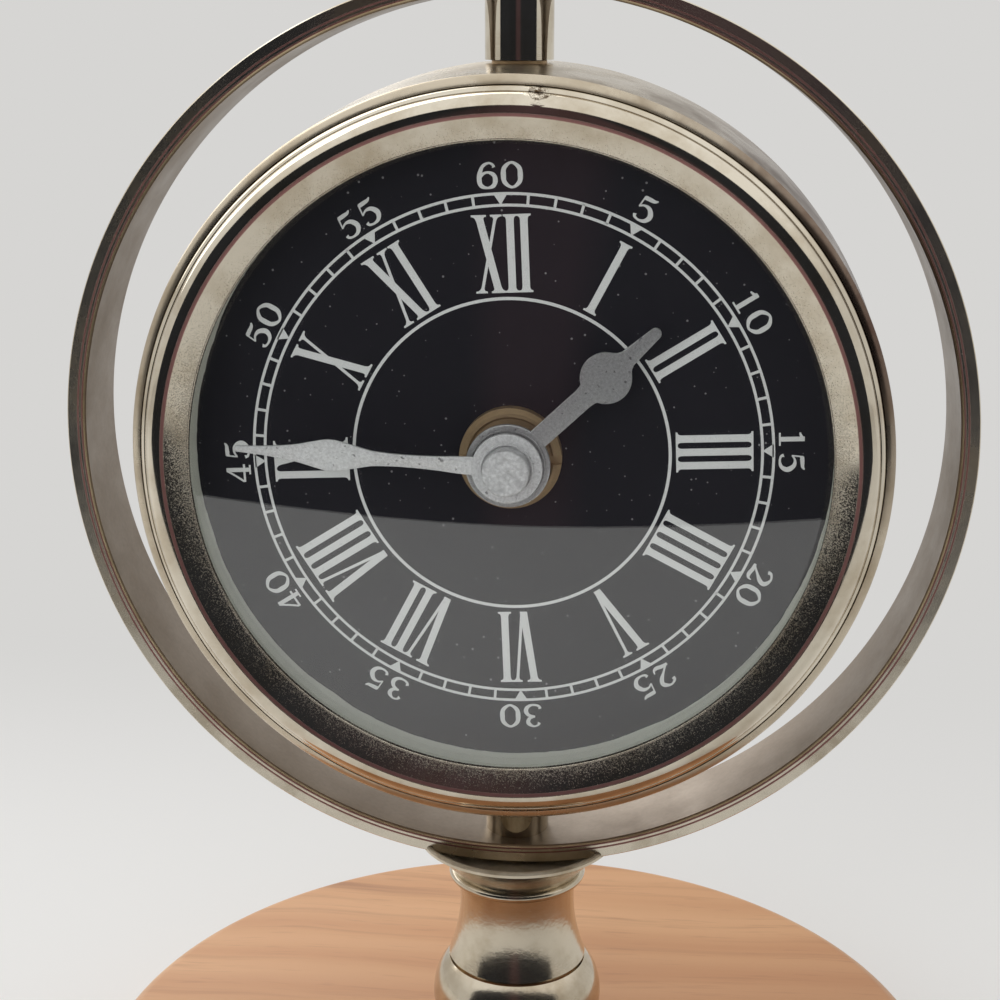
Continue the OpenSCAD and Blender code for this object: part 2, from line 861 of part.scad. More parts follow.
module glass() {
  color("lightcyan", 0.3)
    about_dial()
      intersection() {
        difference() {
          translate([0, glass_centre_y])
            circle(r = glass_rho, $fn = glass_steps);
          translate([0, glass_centre_y])
            circle(r = glass_rho - glass_t, $fn = glass_steps);
        }
        translate([0, glass_seat_y - glass_crown - cut])
          square([glass_r, glass_crown + lip_gap]);
      }
}

module spacer_ring() {
  color("beige")
    about_dial()
      intersection() {
        translate([0, glass_centre_y])
          circle(r = glass_rho - glass_t - rest_gap, $fn = glass_steps);
        translate([spacer_in_r, lip_y])
          square([dial_r - spacer_in_r, lip_gap]);
      }
}

module dial_plate() {
  color("black")
    difference() {
      bar(centre_axis, dial_r, dial_front, dial_back);
      bar(centre_axis, tube_r + assembly_fit, dial_front - cut, dial_back + cut);
    }
}

module dial_washer() {
  color("dimgray")
    difference() {
      bar(centre_axis, dial_nut_r, dial_back, case_front);
      bar(centre_axis, tube_r + assembly_fit, dial_back - cut, case_front + cut);
    }
}

module dial_nut() {
  nut_front = dial_front - dial_nut_h;
  rim_r = dial_nut_r - dial_nut_chamfer.x;
  step_r = rim_r - dial_nut_land - dial_nut_step.x;
  step_y = nut_front + dial_nut_step.y;
  color("darkgoldenrod")
    difference() {
      about_dial()
        polygon([
          [tube_r + assembly_fit, dial_front], [dial_nut_r, dial_front],
          [dial_nut_r, nut_front + dial_nut_chamfer.y], [rim_r, nut_front],
          [rim_r - dial_nut_land, nut_front], [step_r, step_y], [tube_r + assembly_fit, step_y]
        ]);
      translate([0, nut_front, head_z])
        cube([2 * dial_nut_r + cut, 2 * dial_nut_slot_h, dial_nut_slot_w], center = true);
    }
}

// Hands

module hand_hub(r, boss_r, boss_len, bore_r, y_front) {
  difference() {
    union() {
      bar(centre_axis, r, y_front, y_front + hand_t);
      bar(centre_axis, boss_r, y_front, y_front + hand_t + boss_len);
    }
    bar(centre_axis, bore_r, y_front - cut, y_front + hand_t + boss_len + cut);
  }
}

// Leaf from the hub outwards along +Y, given as [distance, half width]
module leaf(sides, tip_r) {
  tip_at = sides[len(sides) - 1];
  polygon(concat(
    [for (p = sides) [p.y, p.x]],
    arc([0, tip_at.x], tip_r, 0, 180),
    [for (i = [len(sides) - 1:-1:0]) [-sides[i].y, sides[i].x]]
  ));
}

module minute_hand() {
  widest = minute_widest_share * minute_len;
  waist_at = minute_waist_share * minute_len;
  tip_at = minute_len - minute_tip_r;
  color("silver")
    union() {
      hand_hub(minute_hub_r, minute_boss_r, minute_boss_len, minute_arbor_r + assembly_fit, minute_hand_y);
      facing_front(minute_hand_y, hand_t)
        rotate(-minute_angle)
          leaf(concat(
            [[minute_hub_r, 0] + minute_root],
            curve([minute_hub_r, 0] + minute_shaft, [waist_at, minute_waist], [widest, 0] + minute_shoulder),
            curve(
              [widest - minute_flank.x, minute_flank.y],
              [widest, minute_belly],
              [widest + minute_flank.x, minute_flank.y]
            ),
            curve([widest, 0] + minute_taper, [widest, 0] + minute_point, [tip_at, minute_tip_r])
          ), minute_tip_r);
    }
}

module hand_cap() {
  cap_back = minute_hand_y - rest_gap;
  cap_front = cap_back - cap_h;
  color("silver")
    difference() {
      about_dial()
        polygon(concat(
          [[0, cap_back], [cap_r, cap_back]],
          arc([cap_r - cap_round, cap_front + cap_round], cap_round, 0, -90),
          [[0, cap_front]]
        ));
      bar(centre_axis, minute_arbor_r + assembly_fit, arbor_front - rest_gap, cap_back + cut);
    }
}

module minute_arbor() {
  color("gold")
    union() {
      bar(centre_axis, minute_arbor_r, arbor_front, layer_y(1) + wheel_t);
      pinion(centre_axis, cannon_teeth, motion_module, 0, 1);
      bar(centre_axis, centre_rear_r, layer_y(1), bridge_front - rest_gap);
      bar(centre_axis, centre_pivot_r, bridge_front - cut, bridge_front + pivot_end_len);
    }
}

module hour_hand() {
  bulb_at = hour_bulb_share * hour_len;
  neck_at = bulb_at - sqrt(bulb_r * bulb_r - bulb_neck * bulb_neck);
  color("silver")
    union() {
      hand_hub(hour_hub_r, hour_boss_r, hour_boss_len, hour_pipe_r + assembly_fit, hour_hand_y);
      facing_front(hour_hand_y, hand_t)
        rotate(-hour_angle)
          leaf(concat(
            [[hour_hub_r + hour_root, hour_shaft], [neck_at - bulb_neck_run, hour_shaft]],
            [[neck_at, bulb_neck]],
            [for (a = [bulb_from:bulb_step:bulb_to]) [bulb_at + bulb_r * sin(a), bulb_r * cos(a)]],
            [[bulb_at + bulb_r, hour_point], [hour_len - hour_tip_r, hour_tip_r]]
          ), hour_tip_r);
    }
}

// Motion work

module hour_wheel() {
  color("ivory")
    difference() {
      union() {
        gear(centre_axis, hour_teeth, hour_module, hour_phase, layer_y(0), wheel_t);
        bar(centre_axis, hour_pipe_r, hour_pipe_front, layer_y(0) + wheel_t);
      }
      bar(centre_axis, hour_pipe_bore_r, hour_pipe_front - cut, layer_y(0) + wheel_t + cut);
    }
}

module minute_wheel() {
  color("ivory")
    union() {
      arbor(minute_axis, arbor_r);
      gear(minute_axis, minute_teeth, motion_module, minute_phase, layer_y(1), wheel_t);
      gear(
        minute_axis, hour_pinion_teeth, hour_module, 0, layer_y(0) - pinion_extra, layer_pitch + pinion_extra
      );
    }
}

module setting_knob() {
  color("dimgray")
    union() {
      bar(setting_axis, setting_shaft_r, plate_in + rest_gap, knob_front + cut);
      bar(setting_axis, pivot_end_r, plate_in - pivot_end_len, plate_in + cut);
      pinion(setting_axis, cannon_teeth, motion_module, setting_phase, 1);
      facing_front(knob_front, knob_h)
        translate(setting_axis)
          polygon([
            for (i = [0:2 * knob_ridges - 1])
              (knob_r - (i % 2) * knob_ridge_r) * [cos(i * 180 / knob_ridges), sin(i * 180 / knob_ridges)]
          ]);
    }
}

// Drive train

module centre_wheel() {
  hub_r = centre_rear_r + centre_hub_wall;
  color("ivory")
    difference() {
      union() {
        gear(centre_axis, centre_teeth, centre_module, 0, layer_y(2), wheel_t);
        bar(centre_axis, hub_r, layer_y(2) - pinion_extra, layer_y(2) + wheel_t + pinion_extra);
      }
      bar(centre_axis, centre_rear_r + running_fit, layer_y(2) - cut, layer_y(2) + wheel_t + cut);
    }
}

module third_wheel() {
  color("ivory")
    union() {
      arbor(third_axis, arbor_r);
      gear(third_axis, third_teeth, third_module, 0, layer_y(3), wheel_t);
      pinion(third_axis, pinion_teeth, centre_module, third_pinion_phase, 2);
    }
}

module seconds_wheel() {
  color("ivory")
    union() {
      arbor(seconds_axis, fine_arbor_r);
      gear(seconds_axis, seconds_teeth, seconds_module, 0, layer_y(4), wheel_t);
      pinion(seconds_axis, pinion_teeth, third_module, seconds_pinion_phase, 3);
    }
}

module intermediate_wheel() {
  color("ivory")
    union() {
      arbor(intermediate_axis, fine_arbor_r);
      gear(intermediate_axis, intermediate_teeth, rotor_module, 0, layer_y(5), wheel_t);
      pinion(intermediate_axis, pinion_teeth, seconds_module, intermediate_pinion_phase, 4);
    }
}

module rotor() {
  color("gray")
    union() {
      arbor(rotor_axis, fine_arbor_r);
      pinion(rotor_axis, rotor_teeth, rotor_module, rotor_pinion_phase, 5);
      bar(rotor_axis, magnet_r, magnet_front, magnet_front + magnet_t);
    }
}

// Movement case and its electrics

module front_pivot_holes() {
  for (at = [minute_axis, setting_axis, third_axis, seconds_axis, intermediate_axis, rotor_axis])
    bar(at, pivot_end_r + running_fit, plate_in - pivot_end_len - rest_gap, plate_in + cut);
}

module movement_front_case() {
  color("black")
    difference() {
      union() {
        difference() {
          facing_front(case_front, case_front_depth)
            polygon(rounded_box(case_w, case_h, case_corner_r));
          facing_front(plate_in, case_front_depth)
            polygon(rounded_box(2 * case_in, 2 * case_in_h, case_corner_r - case_wall));
        }
        facing_front(plate_in - case_wall / 2, case_split - plate_in + case_wall / 2)
          translate([-case_in - case_wall / 2, -bay_ceiling])
            square([2 * case_in + case_wall, bay_wall_t]);
        bar(centre_axis, tube_r, tube_front, case_front + cut);
        for (at = bridge_pillars)
          bar(at, bridge_pillar_r, plate_in - front_plate_t / 2, bridge_front);
        for (at = stator_pillars)
          bar(at, stator_pillar_r, plate_in - front_plate_t / 2, stator_front);
        for (at = board_pillars)
          bar(at, board_pillar_r, plate_in - front_plate_t / 2, board_front);
      }
      bar(centre_axis, tube_bore_r, tube_front - cut, plate_in + cut);
      front_pivot_holes();
    }
}

module movement_rear_case() {
  color("black")
    difference() {
      union() {
        difference() {
          facing_front(case_split, case_back - case_split)
            polygon(rounded_box(case_w, case_h, case_corner_r));
          facing_front(case_split - cut, case_back - back_plate_t - case_split + cut)
            polygon(rounded_box(2 * case_in, 2 * case_in_h, case_corner_r - case_wall));
        }
        facing_front(case_split, case_back - case_split - back_plate_t / 2)
          translate([-case_in - case_wall / 2, -bay_ceiling])
            square([2 * case_in + case_wall, bay_wall_t]);
      }
      facing_front(case_back - 2 * back_plate_t, 3 * back_plate_t)
        translate([-case_in + bay_rim, -case_in_h + bay_rim])
          square([2 * (case_in - bay_rim), case_in_h - bay_rim - bay_ceiling]);
      bar(setting_axis, setting_shaft_r + running_fit, case_split, case_back + cut);
    }
}

module train_bridge() {
  color("gray")
    difference() {
      facing_front(bridge_front, bridge_t)
        polygon(bridge_outline);
      for (at = [minute_axis, third_axis, seconds_axis, intermediate_axis, rotor_axis])
        bar(at, pivot_end_r + running_fit, bridge_front - cut, bridge_front + bridge_t + cut);
      bar(centre_axis, centre_pivot_r + running_fit, bridge_front - cut, bridge_front + bridge_t + cut);
    }
}

module circuit_board() {
  color("darkgreen")
    union() {
      facing_front(board_front, board_t)
        translate([board_left, board_low])
          square([board_w, board_h]);
      facing_front(board_front + board_t / 2, board_t / 2 + chip_t)
        translate([board_left + board_w / 2 - chip_w / 2, board_low + board_h - chip_w - chip_inset])
          square(chip_w);
    }
}

module quartz_crystal() {
  color("silver")
    translate([crystal_at.x, board_front + board_t + crystal_r, head_z + crystal_at.y - crystal_len / 2])
      cylinder(r = crystal_r, h = crystal_len);
}

module stator() {
  color("darkgray")
    difference() {
      union() {
        bar(rotor_axis, stator_ring_r, stator_front, stator_front + stator_t);
        facing_front(stator_front, stator_t)
          translate([rotor_axis.x, low_bar_z - stator_bar_w / 2])
            square([stator_right - rotor_axis.x, stator_bar_w]);
        facing_front(stator_front, stator_t)
          translate([core_left, core_z - stator_bar_w / 2])
            square([stator_right - core_left, stator_bar_w]);
        facing_front(stator_front, stator_t)
          translate([stator_right - stator_bar_w, low_bar_z])
            square([stator_bar_w, core_z - low_bar_z]);
        facing_front(stator_front, stator_t)
          translate([core_left, rotor_axis.y])
            square([stator_bar_w, core_z - rotor_axis.y]);
      }
      bar(rotor_axis, stator_hole_r, stator_front - cut, stator_front + stator_t + cut);
    }
}

module coil() {
  coil_y = stator_front + stator_t / 2;
  bore_t = stator_t + 2 * rest_gap;
  bore_w = stator_bar_w + 2 * rest_gap;
  color("chocolate")
    difference() {
      translate([coil_left, coil_y, head_z + core_z])
        rotate([0, 90, 0])
          cylinder(r = coil_r, h = coil_right - coil_left);
      translate([coil_left - cut, coil_y - bore_t / 2, head_z + core_z - bore_w / 2])
        cube([coil_right - coil_left + 2 * cut, bore_t, bore_w]);
    }
}

module contact_plate(x) {
  translate([x, cell_y - contact_w / 2, head_z + cell_z - contact_w / 2])
    cube([contact_t, contact_w, contact_w]);
}

module positive_contact() {
  color("silver")
    contact_plate(positive_x - contact_t);
}

module negative_contact() {
  spring_root = negative_x + contact_t / 2;
  color("silver")
    union() {
      contact_plate(negative_x);
      translate([spring_root, cell_y, head_z + cell_z])
        rotate([0, 90, 0])
          cylinder(r1 = spring_root_r, r2 = spring_tip_r, h = cell_start - spring_root - rest_gap);
    }
}

module battery_cell() {
  color("teal")
    translate([cell_start, cell_y, head_z + cell_z])
      rotate([0, 90, 0])
        union() {
          cylinder(r = cell_r, h = cell_end - cell_start);
          cylinder(r = nub_r, h = cell_end - cell_start + nub_len);
        }
}

module rear_cover() {
  color("lightgray")
    union() {
      about_dial()
        polygon([
          [0, cover_seat], [cover_skirt_r - cover_skirt_t, cover_seat],
          [cover_skirt_r - cover_skirt_t, drum_back - cover_skirt_len],
          [cover_skirt_r, drum_back - cover_skirt_len], [cover_skirt_r, cover_seat], [cover_r, cover_seat],
          [cover_r, cover_seat + cover_t / 2], [cover_r - cover_t / 2, cover_seat + cover_t],
          [0, cover_seat + cover_t]
        ]);
      facing_front(cover_seat, cover_t)
        translate([-cover_tab_w / 2, -cover_r - cover_tab_reach])
          square([cover_tab_w, cover_tab_reach + cover_tab_root]);
    }
}

base_felt_pad();
base_disc();
base_washer();
base_nut();
tie_rod();
column_foot();
column_neck();
column_cup();
hoop();
lower_post();
upper_post();
top_screw();
drum_shell();
upper_bush();
lower_bush();
bezel();
glass();
spacer_ring();
dial_plate();
dial_washer();
dial_nut();
movement_front_case();
movement_rear_case();
train_bridge();
circuit_board();
quartz_crystal();
stator();
coil();
positive_contact();
negative_contact();
battery_cell();
rear_cover();
minute_hand();
hand_cap();
minute_arbor();
hour_hand();
hour_wheel();
minute_wheel();
setting_knob();
rotor();
intermediate_wheel();
seconds_wheel();
third_wheel();
centre_wheel();
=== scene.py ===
"""Looks of a round table clock: wooden base, turned nickel column, hoop with a swivelling drum and a black dial."""
import math

import bmesh
import bpy
from mathutils import Matrix, Vector, noise


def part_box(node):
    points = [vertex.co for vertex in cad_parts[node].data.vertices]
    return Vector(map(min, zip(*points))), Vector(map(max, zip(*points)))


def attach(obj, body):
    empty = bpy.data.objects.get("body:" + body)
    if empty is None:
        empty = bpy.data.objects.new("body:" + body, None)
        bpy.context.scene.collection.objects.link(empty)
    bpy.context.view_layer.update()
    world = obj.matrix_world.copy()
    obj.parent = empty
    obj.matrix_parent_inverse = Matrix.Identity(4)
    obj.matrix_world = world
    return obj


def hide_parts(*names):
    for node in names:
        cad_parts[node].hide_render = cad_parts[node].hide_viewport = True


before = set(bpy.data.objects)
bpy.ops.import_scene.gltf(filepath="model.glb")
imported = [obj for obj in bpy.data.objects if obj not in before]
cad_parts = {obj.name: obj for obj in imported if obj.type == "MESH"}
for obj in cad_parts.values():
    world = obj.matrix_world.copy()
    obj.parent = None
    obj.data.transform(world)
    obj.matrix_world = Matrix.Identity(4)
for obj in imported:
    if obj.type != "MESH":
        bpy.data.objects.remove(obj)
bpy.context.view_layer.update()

bl_info = {
    "name": "Swivel table clock",
    "version": (1, 0, 0),
    "blender": (4, 5, 0),
    "location": "3D View > Sidebar > Clock",
    "description": "Builds the finished surfaces of a swivelling table clock round its solid parts",
    "category": "Object",
}

MM = 0.001
# Sizes in mm: the dial's middle above the table, which the hoop is turned about, the base and the hoop
DIAL_Z = (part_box("hoop")[0].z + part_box("hoop")[1].z) / 2 / MM
BASE_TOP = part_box("base_disc")[1].z / MM
BASE_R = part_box("base_disc")[1].x / MM
HOOP_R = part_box("hoop")[1].x / MM
# Radius of the hole for the tie rod, which goes through the base, the column and the hoop
TIE_BORE = 2.6
# Corners round a turned piece, and the angle in degrees above which an edge stays sharp
TURN_STEPS, SHARP = 256, 30
# Corners closer together than this many metres are one
WELD = 1e-7


class StandSettings(bpy.types.PropertyGroup):
    """Wood and felt of the base"""
    wood_light: bpy.props.StringProperty(
        name="Light wood", description="sRGB hex colour of the pale early wood", default="E0AC7C")
    wood_mid: bpy.props.StringProperty(
        name="Mid wood", description="sRGB hex colour of most of the wood", default="CC9262")
    wood_dark: bpy.props.StringProperty(
        name="Dark wood", description="sRGB hex colour of the streaks", default="A06C49")
    grain_width: bpy.props.FloatProperty(
        name="Grain width", description="Width of one growth band across the board",
        default=9 * MM, min=2 * MM, max=30 * MM, unit="LENGTH")
    felt: bpy.props.StringProperty(
        name="Felt", description="sRGB hex colour of the felt under the base", default="2F4634")
    edge_round: bpy.props.FloatProperty(
        name="Edge rounding", description="Radius of the base's upper edge",
        default=2.5 * MM, min=0.5 * MM, max=6 * MM, unit="LENGTH")


class MetalSettings(bpy.types.PropertyGroup):
    """Plating of the metal pieces"""
    nickel: bpy.props.StringProperty(
        name="Nickel", description="sRGB hex colour of clean nickel plate", default="DAD1BF")
    tarnish: bpy.props.StringProperty(
        name="Tarnish", description="sRGB hex colour of dulled nickel plate", default="B5A68D")
    copper: bpy.props.StringProperty(
        name="Worn edge", description="sRGB hex colour of the coppery line on worn edges", default="A87C77")
    brass: bpy.props.StringProperty(
        name="Brass", description="sRGB hex colour of turned brass", default="E3C49A")
    polish: bpy.props.FloatProperty(
        name="Polish roughness", description="Roughness of the polished faces",
        default=0.1, min=0.0, max=1.0, subtype="FACTOR")


class DialSettings(bpy.types.PropertyGroup):
    """Lacquer and print of the dial, and the ring round it"""
    lacquer: bpy.props.StringProperty(
        name="Lacquer", description="sRGB hex colour of the dial", default="1E1C22")
    ink: bpy.props.StringProperty(
        name="Ink", description="sRGB hex colour of the printed numbers", default="DCDEDD")
    spacer: bpy.props.StringProperty(
        name="Spacer", description="sRGB hex colour of the ring under the glass", default="EEF1E4")
    print_turn: bpy.props.FloatProperty(
        name="Print turn", description="Turn of the printed dial against the case, anticlockwise",
        default=math.radians(2.4), min=-math.pi, max=math.pi, subtype="ANGLE", unit="ROTATION")
    track_radius: bpy.props.FloatProperty(
        name="Track radius", description="Radius of the outer line of the minute track",
        default=30 * MM, min=20 * MM, max=36 * MM, unit="LENGTH")
    line_width: bpy.props.FloatProperty(
        name="Line width", description="Width of the printed lines",
        default=0.32 * MM, min=0.1 * MM, max=1 * MM, unit="LENGTH")


class HandSettings(bpy.types.PropertyGroup):
    """Paint and form of the hands"""
    paint: bpy.props.StringProperty(
        name="Paint", description="sRGB hex colour of the hands", default="F2F3F4")
    crease: bpy.props.FloatProperty(
        name="Crease", description="Fall from the minute hand's ridge to its lower edge",
        default=0.22 * MM, min=0.0, max=0.4 * MM, unit="LENGTH")


class StageSettings(bpy.types.PropertyGroup):
    """Floor, backdrop and light"""
    floor: bpy.props.StringProperty(
        name="Floor", description="sRGB hex colour of the floor", default="F8F7F5")
    backdrop: bpy.props.StringProperty(
        name="Backdrop", description="sRGB hex colour behind the floor", default="D6D5D3")
    fill: bpy.props.FloatProperty(
        name="Fill", description="Strength of the even light from all sides",
        default=0.5, min=0.0, max=4.0)
    key: bpy.props.FloatProperty(
        name="Key", description="Power of the soft box overhead",
        default=3.0, min=0.0, max=200.0, unit="POWER")
    front: bpy.props.FloatProperty(
        name="Front light", description="Power of the soft light beside the camera",
        default=9.0, min=0.0, max=200.0, unit="POWER")


def linear(text):
    """Linear colour of an sRGB hex value."""
    parts = [int(text[i:i + 2], 16) / 255 for i in (0, 2, 4)]
    return tuple(c / 12.92 if c <= 0.04045 else ((c + 0.055) / 1.055) ** 2.4 for c in parts) + (1.0,)


def dimmed(colour, part):
    """A linear colour with only this part of its light."""
    return tuple(c * part for c in colour[:3]) + (1.0,)


def per_mm(size):
    """Texture scale for a pattern whose features are this many millimetres wide."""
    return 1 / (size * MM)


def put(tree, kind, sockets=None, **settings):
    """Adds a node with its settings, and fills or links its sockets."""
    new = tree.nodes.new(kind)
    for name, value in settings.items():
        setattr(new, name, value)
    for key, value in (sockets or {}).items():
        if isinstance(value, bpy.types.NodeSocket):
            tree.links.new(value, new.inputs[key])
        else:
            new.inputs[key].default_value = value
    return new


def begin(name, **constants):
    """A new material, its tree, its shader with constants set, and the place on the object."""
    made = bpy.data.materials.new(name)
    made.use_nodes = True
    tree = made.node_tree
    shader = tree.nodes["Principled BSDF"]
    for key, value in constants.items():
        shader.inputs[key.replace("_", " ").title().replace("Ior", "IOR")].default_value = value
    place = put(tree, "ShaderNodeTexCoord").outputs["Object"]
    return made, tree, shader, place


def connect(tree, shader, colour, rough=None, bump=None):
    """Links what was drawn to the shader's colour, roughness and normal."""
    for name, drawn in (("Base Color", colour), ("Roughness", rough), ("Normal", bump)):
        if drawn is not None:
            tree.links.new(drawn, shader.inputs[name])


def arc(centre, r, start, end, steps=16):
    """Points of an arc about a centre, between two angles in degrees."""
    angles = [math.radians(start + (end - start) * i / steps) for i in range(steps + 1)]
    return [(centre[0] + r * math.cos(a), centre[1] + r * math.sin(a)) for a in angles]


def curve(a, b, c, steps=20):
    """Points of a curve from a to c that is drawn towards b."""
    out = []
    for i in range(steps + 1):
        t = i / steps
        k = ((1 - t) ** 2, 2 * t * (1 - t), t * t)
        out.append(tuple(k[0] * a[j] + k[1] * b[j] + k[2] * c[j] for j in (0, 1)))
    return out


def finish_mesh(name, bm, sharp=SHARP):
    """Turns a bmesh into an object with smooth faces and sharp edges above an angle."""
    bmesh.ops.remove_doubles(bm, verts=bm.verts, dist=WELD)
    bmesh.ops.recalc_face_normals(bm, faces=bm.faces)
    mesh = bpy.data.meshes.new(name)
    bm.to_mesh(mesh)
    bm.free()
    mesh.shade_smooth()
    mesh.set_sharp_from_angle(angle=math.radians(sharp))
    made = bpy.data.objects.new(name, mesh)
    bpy.context.scene.collection.objects.link(made)
    return made


def turned(name, profile, about, steps=TURN_STEPS, sharp=SHARP, wobble=None):
    """Closed solid turned about the dial's or the column's axis from (radius, place along the axis) in mm."""
    bm = bmesh.new()
    rings = []
    for r, along in profile:
        ring = []
        # A corner on the axis is a single point
        for i in range(1 if r < 1e-6 else steps):
            a = 2 * math.pi * i / steps
            rr = r + (wobble(r, along, a) if wobble else 0)
            if about == "dial":
                ring.append(bm.verts.new((rr * math.sin(a) * MM, along * MM, (DIAL_Z + rr * math.cos(a)) * MM)))
            else:
                ring.append(bm.verts.new((rr * math.cos(a) * MM, rr * math.sin(a) * MM, along * MM)))
        rings.append(ring)
    for a, b in zip(rings, rings[1:] + rings[:1]):
        for i in range(steps):
            corners = [a[i % len(a)], a[(i + 1) % len(a)], b[(i + 1) % len(b)], b[i % len(b)]]
            corners = list(dict.fromkeys(corners))
            if len(corners) > 2:
                bm.faces.new(corners)
    return finish_mesh(name, bm, sharp)


def cut_away(piece, *cutters):
    """Takes the cutters' volume out of a piece."""
    for cutter in cutters:
        step = piece.modifiers.new("cut", "BOOLEAN")
        step.operation = "DIFFERENCE"
        step.solver = "EXACT"
        step.object = cutter
    graph = bpy.context.evaluated_depsgraph_get()
    mesh = bpy.data.meshes.new_from_object(piece.evaluated_get(graph))
    piece.modifiers.clear()
    piece.data = mesh
    mesh.shade_smooth()
    mesh.set_sharp_from_angle(angle=math.radians(SHARP))
    for cutter in cutters:
        bpy.data.objects.remove(cutter)


def rod(r, low, high):
    """Upright rod on the column's axis, to cut a hole with."""
    return turned("cutter", [(0, low), (r, low), (r, high), (0, high)], "column", 64)


def settle(piece, body, slot, finish, *nodes):
    """Gives a piece its finish, its body and the CAD nodes that it stands for."""
    piece.data.materials.clear()
    piece.data.materials.append(finish)
    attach(piece, body)
    if nodes:
        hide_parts(*nodes)


def dress(finish, *nodes):
    """Puts a finish on CAD nodes that stay as they are."""
    for name in nodes:
        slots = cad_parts[name].data.materials
        if not slots:
            slots.append(finish)
        for i in range(len(slots)):
            slots[i] = finish


def nickel_plate(name, about, roughness, wear=(), pits=None, spot=None, shade=1.0, satin=None,
                 painted_dark_side=None, uneven=0.0):
    """Nickel plate on turned brass, buffed on the lathe.

    The buffing leaves faint rings about the turning axis, and the plate is a warm silver that dulls in soft
    clouds. Worn edges let the copper strike under the plate through as a thin pinkish line. Some pieces have more:
    pits is an unbuffed slope, spot a soldered spot, satin a brushed inside and aged a side that has browned.
    """
    metal = bpy.context.scene.clock_metal
    made, tree, shader, place = begin(name, metallic=1.0)
    middle = (0, 0, DIAL_Z * MM) if about == "dial" else (0, 0, 0)
    flat = (1, 0, 1) if about == "dial" else (1, 1, 0)
    lengthwise = (0, 1, 0) if about == "dial" else (0, 0, 1)
    local = put(tree, "ShaderNodeVectorMath", {0: place, 1: middle}, operation="SUBTRACT").outputs[0]
    across = put(tree, "ShaderNodeVectorMath", {0: local, 1: flat}, operation="MULTIPLY").outputs[0]
    radius = put(tree, "ShaderNodeVectorMath", {0: across}, operation="LENGTH").outputs["Value"]
    along = put(tree, "ShaderNodeVectorMath", {0: local, 1: lengthwise}, operation="DOT_PRODUCT").outputs["Value"]
    ring_place = put(tree, "ShaderNodeCombineXYZ", {"X": radius, "Y": along}).outputs[0]
    # Buffing marks are about 0.02 mm wide; drawn 0.5 mm wide so that they show
    rings = put(tree, "ShaderNodeTexNoise", {"Vector": ring_place, "Scale": per_mm(0.5), "Detail": 3.0,
                                            "Roughness": 0.65}).outputs["Fac"]
    # Clouds of dulled plate about 9 mm across
    clouds = put(tree, "ShaderNodeTexNoise", {"Vector": local, "Scale": per_mm(9), "Detail": 5.0,
                                             "Roughness": 0.62}).outputs["Fac"]
    # Dust and pin-holes are about 0.1 mm across; drawn at 0.6 mm so that they show
    grit = put(tree, "ShaderNodeTexNoise", {"Vector": local, "Scale": per_mm(0.6), "Detail": 2.0}).outputs["Fac"]
    dull = put(tree, "ShaderNodeMapRange", {"Value": clouds, "From Min": 0.45, "From Max": 0.75}).outputs[0]
    speck = put(tree, "ShaderNodeMapRange", {"Value": grit, "From Min": 0.7, "From Max": 0.78}).outputs[0]
    # A darker shade of plate is also warmer: green falls faster than red, and blue faster than green
    falls = (1, 1.25, 1.6)
    clean, stale = (tuple(c * shade ** k for c, k in zip(linear(t), falls)) + (1,)
                    for t in (metal.nickel, metal.tarnish))
    colour = put(tree, "ShaderNodeMix", {0: dull, 6: clean, 7: stale}, data_type="RGBA").outputs[2]
    rough = put(tree, "ShaderNodeMapRange", {"Value": clouds, "From Min": 0.3, "From Max": 0.75,
                                            "To Min": roughness * 0.7, "To Max": roughness * 1.6}).outputs[0]
    bump = put(tree, "ShaderNodeBump", {"Height": rings, "Strength": 0.06, "Distance": 0.05 * MM}).outputs[0]
    if uneven:
        # Cast under the plate, so that mirrored edges are ragged
        bump = put(tree, "ShaderNodeBump", {"Height": grit, "Strength": uneven, "Distance": 0.1 * MM, "Normal": bump}
                   ).outputs[0]
    # Worn lines, each with its radius, its place along the axis and its half width in mm
    for r, y, width in wear:
        off = put(tree, "ShaderNodeVectorMath", {0: ring_place, 1: (r * MM, y * MM, 0)},
                  operation="DISTANCE").outputs["Value"]
        line = put(tree, "ShaderNodeMapRange", {"Value": off, "From Min": width * MM, "From Max": width * 0.6 * MM}
                   ).outputs[0]
        colour = put(tree, "ShaderNodeMix", {0: line, 6: colour, 7: linear(metal.copper)}, data_type="RGBA").outputs[2]
        rough = put(tree, "ShaderNodeMath", {0: line, 1: 0.4, 2: rough}, operation="MULTIPLY_ADD").outputs[0]
    if pits:
        # The cast slope inside the bezel was never buffed: grains about 0.2 mm across, closer together towards
        # the lip, scatter the light, so they glitter where it is dark and mottle it where it is light
        inner, outer = pits
        mask = put(tree, "ShaderNodeMapRange", {"Value": radius, "From Min": outer * MM, "From Max": inner * MM}
                   ).outputs[0]
        grain = put(tree, "ShaderNodeTexNoise", {"Vector": local, "Scale": per_mm(0.16), "Detail": 4.0,
                                                "Roughness": 0.7}).outputs["Fac"]
        crowd = put(tree, "ShaderNodeMath", {0: mask, 1: 0.17, 2: grain}, operation="MULTIPLY_ADD").outputs[0]
        spots = put(tree, "ShaderNodeMapRange", {"Value": crowd, "From Min": 0.6, "From Max": 0.82}).outputs[0]
        inside = put(tree, "ShaderNodeMapRange", {"Value": mask, "From Max": 0.1}).outputs[0]
        spots = put(tree, "ShaderNodeMath", {0: spots, 1: inside}, operation="MULTIPLY").outputs[0]
        rough = put(tree, "ShaderNodeMath", {0: spots, 1: 0.4, 2: rough}, operation="MULTIPLY_ADD").outputs[0]
        bump = put(tree, "ShaderNodeBump", {"Height": spots, "Strength": 0.12, "Distance": 0.1 * MM, "Normal": bump}
                   ).outputs[0]
    if painted_dark_side:
